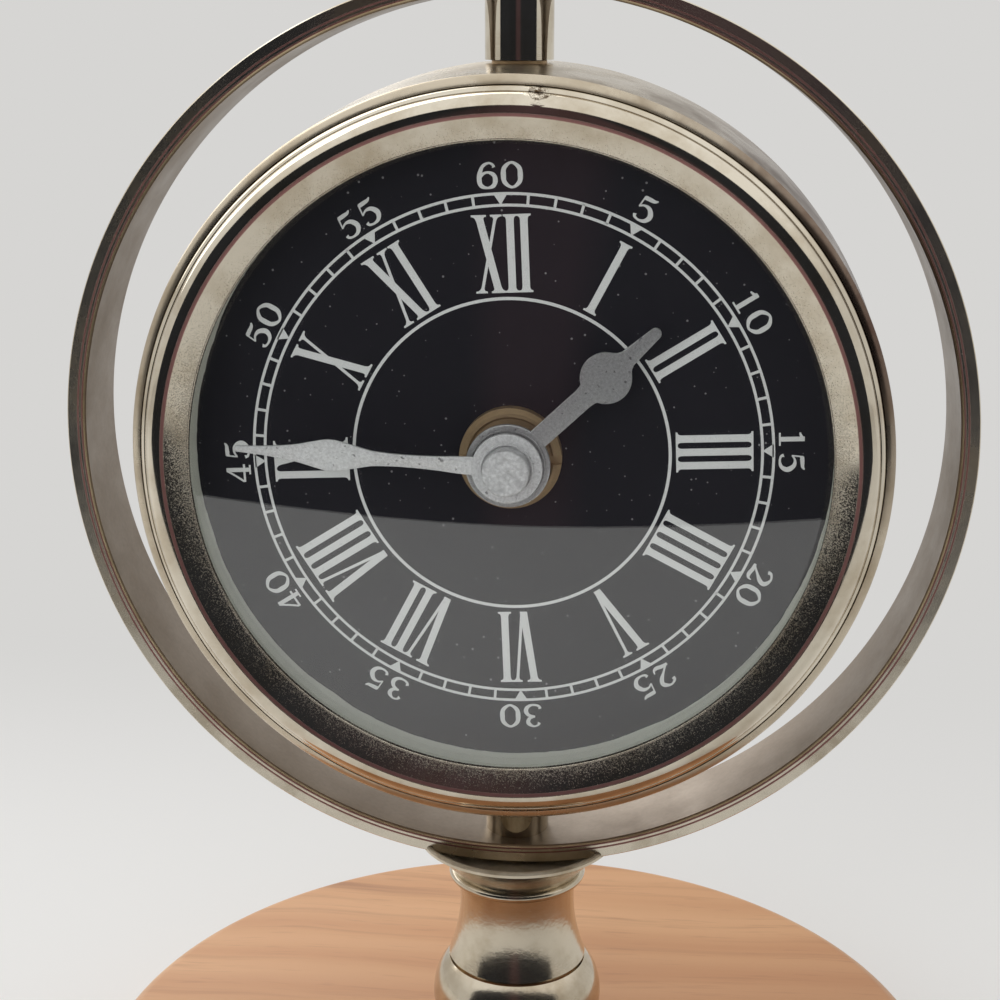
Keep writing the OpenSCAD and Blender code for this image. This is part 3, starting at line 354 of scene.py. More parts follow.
        # Painted reflection: the drum's upper right side is painted darker brown, standing for the darker room that it
        # mirrors there; the clouds make the border ragged
        near_x, far_x, brown = painted_dark_side
        ragged, low_z, high_z = 30, -8, 14
        sides = put(tree, "ShaderNodeSeparateXYZ", {0: local}).outputs
        high = put(tree, "ShaderNodeMapRange", {"Value": sides["Z"], "From Min": low_z * MM, "From Max": high_z * MM}
                   ).outputs[0]
        right = put(tree, "ShaderNodeMath", {0: clouds, 1: ragged * MM, 2: sides["X"]}, operation="MULTIPLY_ADD"
                    ).outputs[0]
        right = put(tree, "ShaderNodeMapRange", {"Value": right, "From Min": (near_x + ragged / 2) * MM,
                                                "From Max": (far_x + ragged / 2) * MM, "To Max": 0.95}).outputs[0]
        right = put(tree, "ShaderNodeMath", {0: right, 1: high}, operation="MULTIPLY").outputs[0]
        colour = put(tree, "ShaderNodeMix", {0: right, 6: colour, 7: linear(brown)}, data_type="RGBA").outputs[2]
    if satin:
        # The hoop's inside was only brushed and has dulled to taupe
        inside_r, dulled = satin
        within = put(tree, "ShaderNodeMapRange", {"Value": radius, "From Min": (inside_r + 0.25) * MM,
                                                 "From Max": (inside_r + 0.1) * MM}).outputs[0]
        taupe = linear(dulled)
        brushed = put(tree, "ShaderNodeMix", {0: grit, 6: dimmed(taupe, 0.75), 7: taupe}, data_type="RGBA").outputs[2]
        colour = put(tree, "ShaderNodeMix", {0: within, 6: colour, 7: brushed}, data_type="RGBA").outputs[2]
        rough = put(tree, "ShaderNodeMath", {0: within, 1: 0.14, 2: rough}, operation="MULTIPLY_ADD").outputs[0]
    if spot:
        # A rough soldered spot, about 3 mm across, with its lumps between two radii
        spot_out, spot_in = 1.9, 1.1
        off = put(tree, "ShaderNodeVectorMath", {0: local, 1: tuple(v * MM for v in spot)},
                  operation="DISTANCE").outputs["Value"]
        near = put(tree, "ShaderNodeMapRange", {"Value": off, "From Min": spot_out * MM, "From Max": spot_in * MM}
                   ).outputs[0]
        lumps = put(tree, "ShaderNodeTexNoise", {"Vector": local, "Scale": per_mm(0.8), "Detail": 5.0,
                                                "Roughness": 0.75}).outputs["Fac"]
        high = put(tree, "ShaderNodeMath", {0: lumps, 1: near}, operation="MULTIPLY").outputs[0]
        burnt = put(tree, "ShaderNodeMapRange", {"Value": high, "From Min": 0.42, "From Max": 0.56}).outputs[0]
        colour = put(tree, "ShaderNodeMix", {0: burnt, 6: colour, 7: linear("4E3A22")}, data_type="RGBA").outputs[2]
        bump = put(tree, "ShaderNodeBump", {"Height": high, "Strength": 0.5, "Distance": 0.3 * MM, "Normal": bump}
                   ).outputs[0]
    rough = put(tree, "ShaderNodeMath", {0: speck, 1: 0.1, 2: rough}, operation="MULTIPLY_ADD").outputs[0]
    connect(tree, shader, colour, rough, bump)
    return made


def oiled_hardwood():
    """Flat-sawn cherry or alder, sanded and oiled.

    The grain runs left to right: broad soft bands, thin darker streaks, and short fine pores. The sanded edge is
    paler than the face.
    """
    wood = bpy.context.scene.clock_stand
    made, tree, shader, place = begin("oiled_hardwood", IOR=1.5)
    # The growth bands wander by some millimetres and are thirty times as long as they are wide
    sway, stretch = (0, 8 * MM, 4 * MM), (0.033, 1, 1)
    drift = put(tree, "ShaderNodeTexNoise", {"Vector": place, "Scale": per_mm(60), "Detail": 2.0}).outputs["Color"]
    moved = put(tree, "ShaderNodeVectorMath", {0: drift, 1: sway, 2: place}, operation="MULTIPLY_ADD").outputs[0]
    long = put(tree, "ShaderNodeVectorMath", {0: moved, 1: stretch}, operation="MULTIPLY").outputs[0]
    bands = put(tree, "ShaderNodeTexNoise", {"Vector": long, "Scale": 1 / wood.grain_width, "Detail": 3.0}
                ).outputs["Fac"]
    # Darker streaks, about 3.5 mm wide
    streak = put(tree, "ShaderNodeTexNoise", {"Vector": long, "Scale": per_mm(3.5), "Detail": 4.0,
                                             "Roughness": 0.6, "Distortion": 0.2}).outputs["Fac"]
    # Pores are about 0.15 mm wide and 3 mm long; drawn 0.7 mm wide and 9 mm long so that they show
    short = put(tree, "ShaderNodeVectorMath", {0: moved, 1: (0.08, 1, 1)}, operation="MULTIPLY").outputs[0]
    pores = put(tree, "ShaderNodeTexNoise", {"Vector": short, "Scale": per_mm(0.7), "Detail": 2.0}).outputs["Fac"]
    tone = put(tree, "ShaderNodeMapRange", {"Value": bands, "From Min": 0.3, "From Max": 0.68}).outputs[0]
    colour = put(tree, "ShaderNodeMix", {0: tone, 6: linear(wood.wood_mid), 7: linear(wood.wood_light)},
                 data_type="RGBA").outputs[2]
    dark = put(tree, "ShaderNodeMapRange", {"Value": streak, "From Min": 0.54, "From Max": 0.78, "To Max": 0.7}
               ).outputs[0]
    colour = put(tree, "ShaderNodeMix", {0: dark, 6: colour, 7: linear(wood.wood_dark)}, data_type="RGBA").outputs[2]
    pore = put(tree, "ShaderNodeMapRange", {"Value": pores, "From Min": 0.58, "From Max": 0.75, "To Max": 0.3}
               ).outputs[0]
    colour = put(tree, "ShaderNodeMix", {0: pore, 6: colour, 7: linear(wood.wood_dark)}, data_type="RGBA").outputs[2]
    # Painted shade: the board is drawn redder and darker towards its front right side, where the clock shades it
    towards, painted_shade_from, painted_shade_to = (0.35, -0.94, 0), -35 * MM, 12 * MM
    side = put(tree, "ShaderNodeVectorMath", {0: place, 1: towards}, operation="DOT_PRODUCT").outputs["Value"]
    painted_shade = put(tree, "ShaderNodeMapRange", {"Value": side, "From Min": painted_shade_from, "From Max": painted_shade_to, "To Max": 0.6}
               ).outputs[0]
    colour = put(tree, "ShaderNodeMix", {0: painted_shade, 6: colour, 7: linear(wood.wood_dark)}, data_type="RGBA").outputs[2]
    # Painted highlight: the rounding of the top edge is drawn paler, where it catches the light
    plan = put(tree, "ShaderNodeVectorMath", {0: place, 1: (1, 1, 0)}, operation="MULTIPLY").outputs[0]
    reach = put(tree, "ShaderNodeVectorMath", {0: plan}, operation="LENGTH").outputs["Value"]
    rim = put(tree, "ShaderNodeMapRange", {"Value": reach, "From Min": (BASE_R - 2.2) * MM,
                                          "From Max": (BASE_R - 0.6) * MM, "To Max": 0.35}).outputs[0]
    top = put(tree, "ShaderNodeSeparateXYZ", {0: place}).outputs["Z"]
    top = put(tree, "ShaderNodeMapRange", {"Value": top, "From Min": (BASE_TOP - 5) * MM,
                                          "From Max": (BASE_TOP - 2) * MM}).outputs[0]
    rim = put(tree, "ShaderNodeMath", {0: rim, 1: top}, operation="MULTIPLY").outputs[0]
    colour = put(tree, "ShaderNodeMix", {0: rim, 6: colour, 7: linear("EFD9BF")}, data_type="RGBA").outputs[2]
    rough = put(tree, "ShaderNodeMapRange", {"Value": streak, "To Min": 0.42, "To Max": 0.55}).outputs[0]
    bump = put(tree, "ShaderNodeBump", {"Height": pores, "Strength": 0.12, "Distance": 0.1 * MM}).outputs[0]
    connect(tree, shader, colour, rough, bump)
    return made


def wool_felt():
    """Pressed wool felt: matt, with short fibres that lie every way."""
    made, tree, shader, place = begin("pressed_wool_felt", roughness=0.95)
    shader.inputs["Sheen Weight"].default_value = 0.3
    # Fibres are about 0.03 mm thick; drawn at 0.5 mm so that they show
    fibres = put(tree, "ShaderNodeTexNoise", {"Vector": place, "Scale": per_mm(0.5), "Detail": 4.0,
                                             "Roughness": 0.8, "Distortion": 1.5}).outputs["Fac"]
    green = linear(bpy.context.scene.clock_stand.felt)
    colour = put(tree, "ShaderNodeMix", {0: fibres, 6: dimmed(green, 0.6), 7: green}, data_type="RGBA").outputs[2]
    bump = put(tree, "ShaderNodeBump", {"Height": fibres, "Strength": 0.7, "Distance": 0.2 * MM}).outputs[0]
    connect(tree, shader, colour, bump=bump)
    return made


def black_lacquer():
    """Black stoving lacquer on sheet brass: glossy, slightly wavy, with settled dust."""
    made, tree, shader, place = begin("black_stoving_lacquer", IOR=1.3, roughness=0.4)
    # One grain of dust to each 2.6 mm of the face, up to 0.25 mm across, and larger where the dust lies in patches
    parts = put(tree, "ShaderNodeSeparateXYZ", {0: place}).outputs
    face = put(tree, "ShaderNodeCombineXYZ", {"X": parts["X"], "Y": parts["Z"]}).outputs[0]
    dust = put(tree, "ShaderNodeTexVoronoi", {"Vector": face, "Scale": per_mm(2.6)}, voronoi_dimensions="2D"
               ).outputs["Distance"]
    patch = put(tree, "ShaderNodeTexNoise", {"Vector": place, "Scale": per_mm(5), "Detail": 3.0}).outputs["Fac"]
    grain = put(tree, "ShaderNodeMapRange", {"Value": patch, "From Min": 0.42, "From Max": 0.64, "To Max": 0.05}
                ).outputs[0]
    near = put(tree, "ShaderNodeMath", {0: dust, 1: grain}, operation="LESS_THAN").outputs[0]
    veil = put(tree, "ShaderNodeMath", {0: near, 1: 0.6}, operation="MULTIPLY").outputs[0]
    colour = put(tree, "ShaderNodeMix", {0: veil, 6: linear(bpy.context.scene.clock_dial.lacquer),
                                        7: linear("A8A6A8")}, data_type="RGBA").outputs[2]
    # Waves of the lacquer, about 14 mm long
    waves = put(tree, "ShaderNodeTexNoise", {"Vector": place, "Scale": per_mm(14), "Detail": 1.0}).outputs["Fac"]
    bump = put(tree, "ShaderNodeBump", {"Height": waves, "Strength": 0.05, "Distance": 0.1 * MM}).outputs[0]
    connect(tree, shader, colour, bump=bump)
    return made


def screen_ink():
    """Light-grey screen-printing ink: a thin matt film with tiny pin-holes."""
    made, tree, shader, place = begin("screen_printing_ink", roughness=0.55)
    # Pin-holes are about 0.1 mm across; drawn at 0.45 mm so that they show
    holes = put(tree, "ShaderNodeTexNoise", {"Vector": place, "Scale": per_mm(0.45), "Detail": 3.0}).outputs["Fac"]
    thin = put(tree, "ShaderNodeMapRange", {"Value": holes, "From Min": 0.6, "From Max": 0.8, "To Max": 0.35}
               ).outputs[0]
    ink = linear(bpy.context.scene.clock_dial.ink)
    colour = put(tree, "ShaderNodeMix", {0: thin, 6: ink, 7: dimmed(ink, 0.45)}, data_type="RGBA").outputs[2]
    connect(tree, shader, colour)
    return made


def silver_paint(name, metallic, pebbled=False):
    """Silver-grey powder coat on stamped sheet: a fine orange peel with dark specks; the cap is pebbled."""
    made, tree, shader, place = begin(name, metallic=metallic, roughness=0.32)
    # Powder grains are about 0.1 mm across; drawn at 0.3 mm so that they show
    grain = put(tree, "ShaderNodeTexNoise", {"Vector": place, "Scale": per_mm(0.32), "Detail": 3.0,
                                            "Roughness": 0.7}).outputs["Fac"]
    grain = put(tree, "ShaderNodeMapRange", {"Value": grain, "From Min": 0.35, "From Max": 0.65}).outputs[0]
    # Dark specks where the coat is thin
    speck = put(tree, "ShaderNodeTexNoise", {"Vector": place, "Scale": per_mm(0.6), "Detail": 2.0}).outputs["Fac"]
    dark = put(tree, "ShaderNodeMapRange", {"Value": speck, "From Min": 0.66, "From Max": 0.74, "To Max": 0.7}
               ).outputs[0]
    paint = linear(bpy.context.scene.clock_hand.paint)
    tone = put(tree, "ShaderNodeMix", {0: grain, 6: dimmed(paint, 0.74), 7: paint}, data_type="RGBA").outputs[2]
    colour = put(tree, "ShaderNodeMix", {0: dark, 6: tone, 7: linear("4A4A4C")}, data_type="RGBA").outputs[2]
    bump = put(tree, "ShaderNodeBump", {"Height": grain, "Strength": 0.3, "Distance": 0.05 * MM}).outputs[0]
    if pebbled:
        # Pebbles about 0.45 mm across on the cap's face, with painted shade in the creases between them
        pebble = put(tree, "ShaderNodeTexVoronoi", {"Vector": place, "Scale": per_mm(0.45), "Smoothness": 0.6},
                     feature="SMOOTH_F1").outputs["Distance"]
        pebble_crease_shade = put(tree, "ShaderNodeMapRange", {"Value": pebble, "From Min": 0.25, "From Max": 0.8, "To Max": 0.35}
                   ).outputs[0]
        colour = put(tree, "ShaderNodeMix", {0: pebble_crease_shade, 6: tone, 7: linear("7C7D80")}, data_type="RGBA").outputs[2]
        bump = put(tree, "ShaderNodeBump", {"Height": pebble, "Strength": 0.5, "Distance": -0.2 * MM,
                                           "Normal": bump}).outputs[0]
    connect(tree, shader, colour, bump=bump)
    return made


def domed_glass():
    """Clear slumped window glass with a trace of dust on it.

    Such glass has an IOR of 1.52; it is set higher so that what it mirrors over the dial is as pale as on the clock.
    """
    made, tree, shader, place = begin("slumped_window_glass", roughness=0.0, IOR=1.72)
    shader.inputs["Transmission Weight"].default_value = 1.0
    # The dust lies in patches of about 6 mm
    film = put(tree, "ShaderNodeTexNoise", {"Vector": place, "Scale": per_mm(6), "Detail": 4.0}).outputs["Fac"]
    colour = put(tree, "ShaderNodeMix", {0: film, 6: linear("F4F8F6"), 7: linear("FFFFFF")},
                 data_type="RGBA").outputs[2]
    connect(tree, shader, colour)
    return made


def moulded(name, hex_colour, roughness, size, gloss=0.0, dark=0.8):
    """Moulded plastic: even in colour, with the faint texture of a sparked mould."""
    made, tree, shader, place = begin(name, IOR=1.5)
    # The pits of such a mould are about 0.05 mm across; drawn at the given size so that they show
    spark = put(tree, "ShaderNodeTexNoise", {"Vector": place, "Scale": per_mm(size), "Detail": 3.0}).outputs["Fac"]
    full = linear(hex_colour)
    colour = put(tree, "ShaderNodeMix", {0: spark, 6: dimmed(full, dark), 7: full}, data_type="RGBA").outputs[2]
    rough = put(tree, "ShaderNodeMapRange", {"Value": spark, "To Min": roughness * 0.8, "To Max": roughness * 1.2}
                ).outputs[0]
    bump = put(tree, "ShaderNodeBump", {"Height": spark, "Strength": 0.15, "Distance": 0.05 * MM}).outputs[0]
    shader.inputs["Coat Weight"].default_value = gloss
    connect(tree, shader, colour, rough, bump)
    return made


def bare_metal(name, hex_colour, roughness, stretch, size, dark=0.7, metallic=1.0):
    """Plain metal with the marks of its making drawn out along one direction."""
    made, tree, shader, place = begin(name, metallic=metallic)
    # Such marks are about 0.05 mm wide; drawn at the given size so that they show
    drawn = put(tree, "ShaderNodeVectorMath", {0: place, 1: stretch}, operation="MULTIPLY").outputs[0]
    marks = put(tree, "ShaderNodeTexNoise", {"Vector": drawn, "Scale": per_mm(size), "Detail": 4.0,
                                            "Roughness": 0.6}).outputs["Fac"]
    full = linear(hex_colour)
    colour = put(tree, "ShaderNodeMix", {0: marks, 6: dimmed(full, dark), 7: full}, data_type="RGBA").outputs[2]
    rough = put(tree, "ShaderNodeMapRange", {"Value": marks, "To Min": roughness * 0.7, "To Max": roughness * 1.3}
                ).outputs[0]
    bump = put(tree, "ShaderNodeBump", {"Height": marks, "Strength": 0.15, "Distance": 0.05 * MM}).outputs[0]
    connect(tree, shader, colour, rough, bump)
    return made


class CLOCK_OT_base(bpy.types.Operator):
    """Wooden base disc with its felt and the fixings under it"""
    bl_idname = "clock.base"
    bl_label = "Base"

    def execute(self, context):
        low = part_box("base_disc")[0].z / MM
        edge = context.scene.clock_stand.edge_round / MM
        counterbore, seat, bevel = 7, 7.7, 0.8
        profile = [(TIE_BORE, seat), (counterbore, seat), (counterbore, low), (BASE_R - bevel, low),
                   (BASE_R, low + bevel)]
        profile += arc((BASE_R - edge, BASE_TOP - edge), edge, 0, 90) + [(TIE_BORE, BASE_TOP)]
        disc = turned("wooden_base", profile, "column")
        settle(disc, "stand", "base_wood", oiled_hardwood(), "base_disc")
        felt_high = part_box("base_felt_pad")[1]
        r, t = felt_high.x / MM, felt_high.z / MM
        edge_in, fuzz, waves = 0.6, 0.12, 9

        def frayed(radius, z, a):
            """The cut edge of the felt wanders a little, and its middle stays where it is."""
            return fuzz * noise.noise(Vector((waves * math.cos(a), waves * math.sin(a), z))) if radius > 1 else 0

        profile = [(0, 0), (r * 0.5, 0), (r - edge_in - 0.1, 0)] + arc((r - edge_in, t / 2), t / 2, -90, 90, 6)
        pad = turned("felt_pad", profile + [(r * 0.5, t), (0, t)], "column", wobble=frayed)
        settle(pad, "stand", "felt", wool_felt(), "base_felt_pad")
        dress(bare_metal("zinc_plated_steel", "B9BBBD", 0.34, (1, 1, 0.4), 0.8), "base_washer", "base_nut", "tie_rod")
        return {"FINISHED"}


class CLOCK_OT_column(bpy.types.Operator):
    """Turned column: foot, neck and cup"""
    bl_idname = "clock.column"
    bl_label = "Column"

    def execute(self, context):
        finish = nickel_plate("buffed_nickel_column", "column", context.scene.clock_metal.polish * 1.5, shade=0.9,
                              uneven=0.12)
        # Foot: a flange with a round edge, a hollow, a knop and a narrow groove under the neck
        end, flange, flange_r, foot_h = 8.9, 0.9, 13.5, 14.4
        knop_low, knop_high, knop_r, groove = 3.4, 13.9, 11, 0.6
        half, bulge = (knop_high - knop_low) / 2, knop_r - end
        rho = (half ** 2 + bulge ** 2) / (2 * bulge)
        sweep = math.degrees(math.asin(half / rho))
        profile = [(TIE_BORE, 0)] + arc((flange_r - flange, flange), flange, -90, 90)
        profile += curve((end + 1.4, 2 * flange), (end - 0.4, 2 * flange), (end, knop_low))
        profile += arc((knop_r - rho, knop_low + half), rho, -sweep, sweep, 40)
        profile += [(end - groove, knop_high), (end - groove, foot_h), (TIE_BORE, foot_h)]
        foot = turned("column_foot_turned", [(r, z + BASE_TOP) for r, z in profile], "column")
        settle(foot, "stand", "nickel", finish, "column_foot")
        # Neck: waisted, with a bead on top. It ends a little lower than its solid, as the photograph shows
        lower = 1.0
        neck_low, neck_high = (v.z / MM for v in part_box("column_neck"))
        neck_high -= lower
        waist, waist_h, collar, collar_h = 7.4, 8, 8.8, 1.3
        flare, height, bead = end - waist, neck_high - neck_low, collar_h / 2
        rho = (waist_h ** 2 + flare ** 2) / (2 * flare)
        high = math.degrees(math.asin((height - collar_h - waist_h) / rho))
        lowest = math.degrees(math.asin(waist_h / rho))
        profile = [(TIE_BORE, 0)] + arc((waist + rho, waist_h), rho, 180 + lowest, 180 - high, 40)
        profile += arc((collar - bead, height - bead), bead, -80, 90) + [(TIE_BORE, height)]
        neck = turned("column_neck_turned", [(r, z + neck_low) for r, z in profile], "column")
        settle(neck, "stand", "nickel", finish, "column_neck")
        # Cup: its rim stands a little way up the hoop's side, and a seat in its dish carries the hoop
        cup_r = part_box("column_cup")[1].x / MM
        rim_up, rim_t, foot_r, dish_deep, seat_r, clear = 0.2, 0.7, 8.3, 0.8, 4.5, 0.05
        cup_h = DIAL_Z - math.sqrt(HOOP_R ** 2 - cup_r ** 2) + rim_up - neck_high
        hoop_bottom = DIAL_Z - HOOP_R - neck_high
        dish = hoop_bottom - dish_deep
        profile = [(TIE_BORE, 0)] + curve((foot_r, 0), (cup_r - 2.7, 0.49 * cup_h), (cup_r, cup_h - rim_t), 30)
        profile += arc((cup_r - rim_t / 2, cup_h - rim_t / 2), rim_t / 2, 0, 180, 10)
        profile += curve((cup_r - 1, cup_h - rim_t), (cup_r - 3.3, dish + 0.4), (foot_r, dish), 30)
        profile += [(seat_r, dish), (seat_r, hoop_bottom - clear), (TIE_BORE, hoop_bottom - clear)]
        cup = turned("column_cup_turned", [(r, z + neck_high) for r, z in profile], "column")
        half_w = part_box("hoop")[1].y / MM + 0.1
        cut_away(cup, turned("cutter", [(0, -half_w), (HOOP_R, -half_w), (HOOP_R, half_w), (0, half_w)], "dial", 720))
        settle(cup, "stand", "nickel", finish, "column_cup")
        # The dish inside the rim was left as cast
        cup.data.materials.append(nickel_plate("cast_nickel_dish", "column", 0.65))
        facing_up, dish_low = 0.15, (neck_high + dish - 0.2) * MM
        for face in cup.data.polygons:
            face.material_index = int(face.normal.z > facing_up and face.center.z > dish_low)
        return {"FINISHED"}


class CLOCK_OT_hoop(bpy.types.Operator):
    """Hoop with its two spacer posts and the screw on top"""
    bl_idname = "clock.hoop"
    bl_label = "Hoop"

    def execute(self, context):
        polish = context.scene.clock_metal.polish
        half, inside, soft, chamfer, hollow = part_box("hoop")[1].y / MM, 52.0, 0.12, 0.4, 0.1
        profile = [(HOOP_R, -half + soft), (HOOP_R, half - soft), (HOOP_R - soft, half),
                   (inside + chamfer, half - hollow), (inside, half - chamfer), (inside, -half + chamfer),
                   (inside + chamfer, -half + hollow), (HOOP_R - soft, -half)]
        hoop = turned("hoop_band", profile, "dial", 512, sharp=20)
        screw_r, past = 1.9, 1
        cut_away(hoop, rod(TIE_BORE, DIAL_Z - HOOP_R - past, DIAL_Z - inside + past),
                 rod(screw_r, DIAL_Z + inside - past, DIAL_Z + HOOP_R + past))
        worn = [(inside + 0.9, -half, 0.16), (inside + chamfer, -half, 0.2)]
        finish = nickel_plate("buffed_nickel_hoop", "dial", polish * 2.2, wear=worn, satin=(inside, "96897B"))
        settle(hoop, "stand", "nickel", finish, "hoop")
        dress(nickel_plate("buffed_nickel_posts", "column", polish * 0.7), "lower_post", "upper_post", "top_screw")
        return {"FINISHED"}


class CLOCK_OT_drum(bpy.types.Operator):
    """Drum shell and rear cover"""
    bl_idname = "clock.drum"
    bl_label = "Drum"

    def execute(self, context):
        polish = context.scene.clock_metal.polish
        biggest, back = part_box("drum_shell")[1].x / MM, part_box("drum_shell")[1].y / MM
        # A bead round the bezel's seat, then the barrel, which swells to its biggest radius and turns in at the back
        seat_r, seat_back, bead_r, bead_front, bead = 42.2, -10.1, 43.3, -16.7, 0.7
        barrel_r, barrel_front, biggest_y, wall, shoulder, cover_lip = 43.1, -15.1, 7.0, 0.9, 6.0, 2.6
        ledge_r, ledge = 38.8, -9.3
        opening = biggest - shoulder - cover_lip
        run, taper = biggest_y - barrel_front, biggest - barrel_r
        rho = (run ** 2 + taper ** 2) / (2 * taper)
        middle, turn_in = (biggest - rho, biggest_y), (biggest - shoulder, biggest_y)
        start = math.degrees(math.asin((barrel_front - biggest_y) / rho))
        inner = math.degrees(math.asin((ledge - biggest_y) / (rho - wall)))
        profile = [(seat_r, bead_front + 0.2), (seat_r + 0.03, bead_front + 0.02)]
        profile += curve((seat_r + 0.06, bead_front), (bead_r - 0.3, bead_front + 0.2), (bead_r, bead_front + bead))
        profile += arc((bead_r - bead, barrel_front - bead), bead, 0, 45, 8)
        profile += arc(middle, rho, start, 0, 40) + arc(turn_in, shoulder, 0, 90, 24)[1:]
        profile += [(opening, back), (opening, back - wall)] + arc(turn_in, shoulder - wall, 90, 0, 24)
        profile += arc(middle, rho - wall, 0, inner, 40)[1:]
        profile += [(ledge_r, ledge), (ledge_r, seat_back), (seat_r, seat_back)]
        shell = turned("drum_barrel", profile, "dial", 384)
        bush_r, bush_in, past = 3.22, 35, 1
        cut_away(shell, rod(bush_r, DIAL_Z - biggest - past, DIAL_Z - bush_in),
                 rod(bush_r, DIAL_Z + bush_in, DIAL_Z + biggest + past))
        # The drum's upper right side carries a painted dark reflection
        finish = nickel_plate("satin_nickel_drum", "dial", polish * 2.6, shade=0.85, painted_dark_side=(10, 40, "5E473E"))
        settle(shell, "head", "nickel", finish, "drum_shell")
        dress(nickel_plate("satin_nickel_cover", "dial", polish * 2.6, shade=0.85), "rear_cover")
        return {"FINISHED"}


class CLOCK_OT_bezel(bpy.types.Operator):
    """Bezel ring, domed glass and the spacer under it"""
    bl_idname = "clock.bezel"
    bl_label = "Bezel and glass"

    def execute(self, context):
        # From the lip over the hollow slope to the round crest, down to a small ridge and the skirt in the drum
        lip_r, lip_y, lip_soft, back = 36.4, -17.6, 0.16, -17.1
        crest_r, crest_y, ridge_r, ridge_y = 39.1, -19.1, 41.5, -17.5
        skirt_r, skirt_in, skirt_end = 42.15, 40.5, -11.2
        profile = [(lip_r, back)] + arc((lip_r + lip_soft, lip_y + 0.06), lip_soft, 180, 262, 6)
        profile += curve((lip_r + 0.2, lip_y - 0.1), (crest_r - 1.2, crest_y + 0.7), (crest_r, crest_y + 0.1))
        profile += curve((crest_r + 0.3, crest_y), (crest_r + 1.85, crest_y), (ridge_r, ridge_y), 30)
        profile += [(ridge_r + 0.01, ridge_y + 0.12), (ridge_r + 0.06, ridge_y + 0.08)]
        profile += curve((ridge_r + 0.1, ridge_y + 0.08), (skirt_r - 0.2, ridge_y + 0.3),
                         (skirt_r - 0.02, ridge_y + 0.75))
        profile += [(skirt_r, ridge_y + 0.9), (skirt_r, skirt_end), (skirt_in, skirt_end), (skirt_in, back)]
        ring = turned("bezel_ring", profile, "dial", 384, sharp=24)
        crest_line, slope, solder = (crest_r + 0.05, crest_y + 0.06, 0.26), (36.6, 39.6), (3.4, -17.6, 41.3)
        finish = nickel_plate("buffed_nickel_bezel", "dial", context.scene.clock_metal.polish * 0.8,
                              wear=[crest_line], pits=slope, spot=solder)
        settle(ring, "head", "nickel", finish, "bezel")
        # Glass: two spheres about one middle behind the dial
        rho, centre, thick, glass_r, steps = 95.6111, 71.3611, 1.5, 40.2, 40
        profile = []
        for r, order in ((rho, range(steps + 1)), (rho - thick, range(steps, -1, -1))):
            rim = math.asin(glass_r / r)
            profile += [(r * math.sin(rim * i / steps), centre - r * math.cos(rim * i / steps)) for i in order]
        dome = turned("glass_dome", profile, "dial", 256)
        # Slumped glass lies flatter towards its rim than the sphere that it is turned from
        steepest = math.radians(12)
        normals = []
        for v in dome.data.vertices:
            side = Vector((v.co.x, 0, v.co.z - DIAL_Z * MM))
            lean = steepest * math.tanh(math.asin(side.length / (rho * MM)) / steepest)
            out = side.normalized() * math.sin(lean) - Vector((0, math.cos(lean), 0))
            depth = (v.co - Vector((0, centre * MM, DIAL_Z * MM))).length / MM
            normals.append(out if depth > rho - thick / 2 else -out)
        dome.data.normals_split_custom_set_from_vertices(normals)
        settle(dome, "head", "clear_glass", domed_glass(), "glass")
        # Light goes straight through to the dial; only the view through the glass is bent
        dome.visible_diffuse = False
        dome.visible_shadow = False
        # Spacer: a moulded band that follows the glass from below
        inner, outer, bevel, clear, band_back, flash_end = 36.8, 40.2, 0.15, 0.05, -10.75, -13
        edge_r, edge_y, lump, crumb = 37, -12, 0.28, 0.12
        under = rho - thick - clear
        tops = [(r, centre - math.sqrt(under ** 2 - r ** 2)) for r in (inner + bevel, (inner + outer) / 2, outer)]

        def ragged(r, y, a):
            """Moulding flash on the inner edge by the dial, broad lumps with finer ones on them."""
            if r >= edge_r or y <= edge_y:
                return 0
            lumps = noise.noise(Vector((6 * math.cos(a), 6 * math.sin(a), 2)))
            crumbs = noise.noise(Vector((40 * math.cos(a), 40 * math.sin(a), 5)))
            return -lump * max(0, lumps - 0.15) - crumb * max(0, crumbs)

        profile = [(inner, tops[0][1] + bevel)] + tops + [(outer, band_back), (inner + 0.1, band_back),
                                                         (inner, band_back - 0.1), (inner, flash_end)]
        band = turned("spacer_band", profile, "dial", 384, wobble=ragged)
        settle(band, "head", "pale_ring",
               moulded("pale_polystyrene", context.scene.clock_dial.spacer, 0.5, 1.2, dark=0.85), "spacer_ring")
        return {"FINISHED"}


def ribbon(points, closed=False, steps=6):
    """Outline strip of a pen stroke through (x, y, half width), smoothed by a Catmull-Rom curve."""
    n = len(points)
    path = []
    last = n if closed else n - 1
    for i in range(last):
        quad = [points[(i + k) % n] if closed else points[min(max(i + k, 0), n - 1)] for k in (-1, 0, 1, 2)]
        for s in range(steps):
            t = s / steps
            path.append(tuple(0.5 * ((2 * b) + (c - a) * t + (2 * a - 5 * b + 4 * c - d) * t * t
                                     + (3 * b - a - 3 * c + d) * t ** 3) for a, b, c, d in zip(*quad)))
    if not closed:
        path.append(points[-1])
    left, right = [], []
    for i, (x, y, w) in enumerate(path):
        before = path[i - 1] if i or closed else path[0]
        after = path[(i + 1) % len(path)] if i + 1 < len(path) or closed else path[-1]
        dx, dy = after[0] - before[0], after[1] - before[1]
        d = math.hypot(dx, dy) or 1
        left.append((x - dy / d * w, y + dx / d * w))
        right.append((x + dy / d * w, y - dx / d * w))
    quads = [(left[i], left[i + 1], right[i + 1], right[i]) for i in range(len(path) - 1)]
    if closed:
        quads.append((left[-1], left[0], right[0], right[-1]))
    return quads


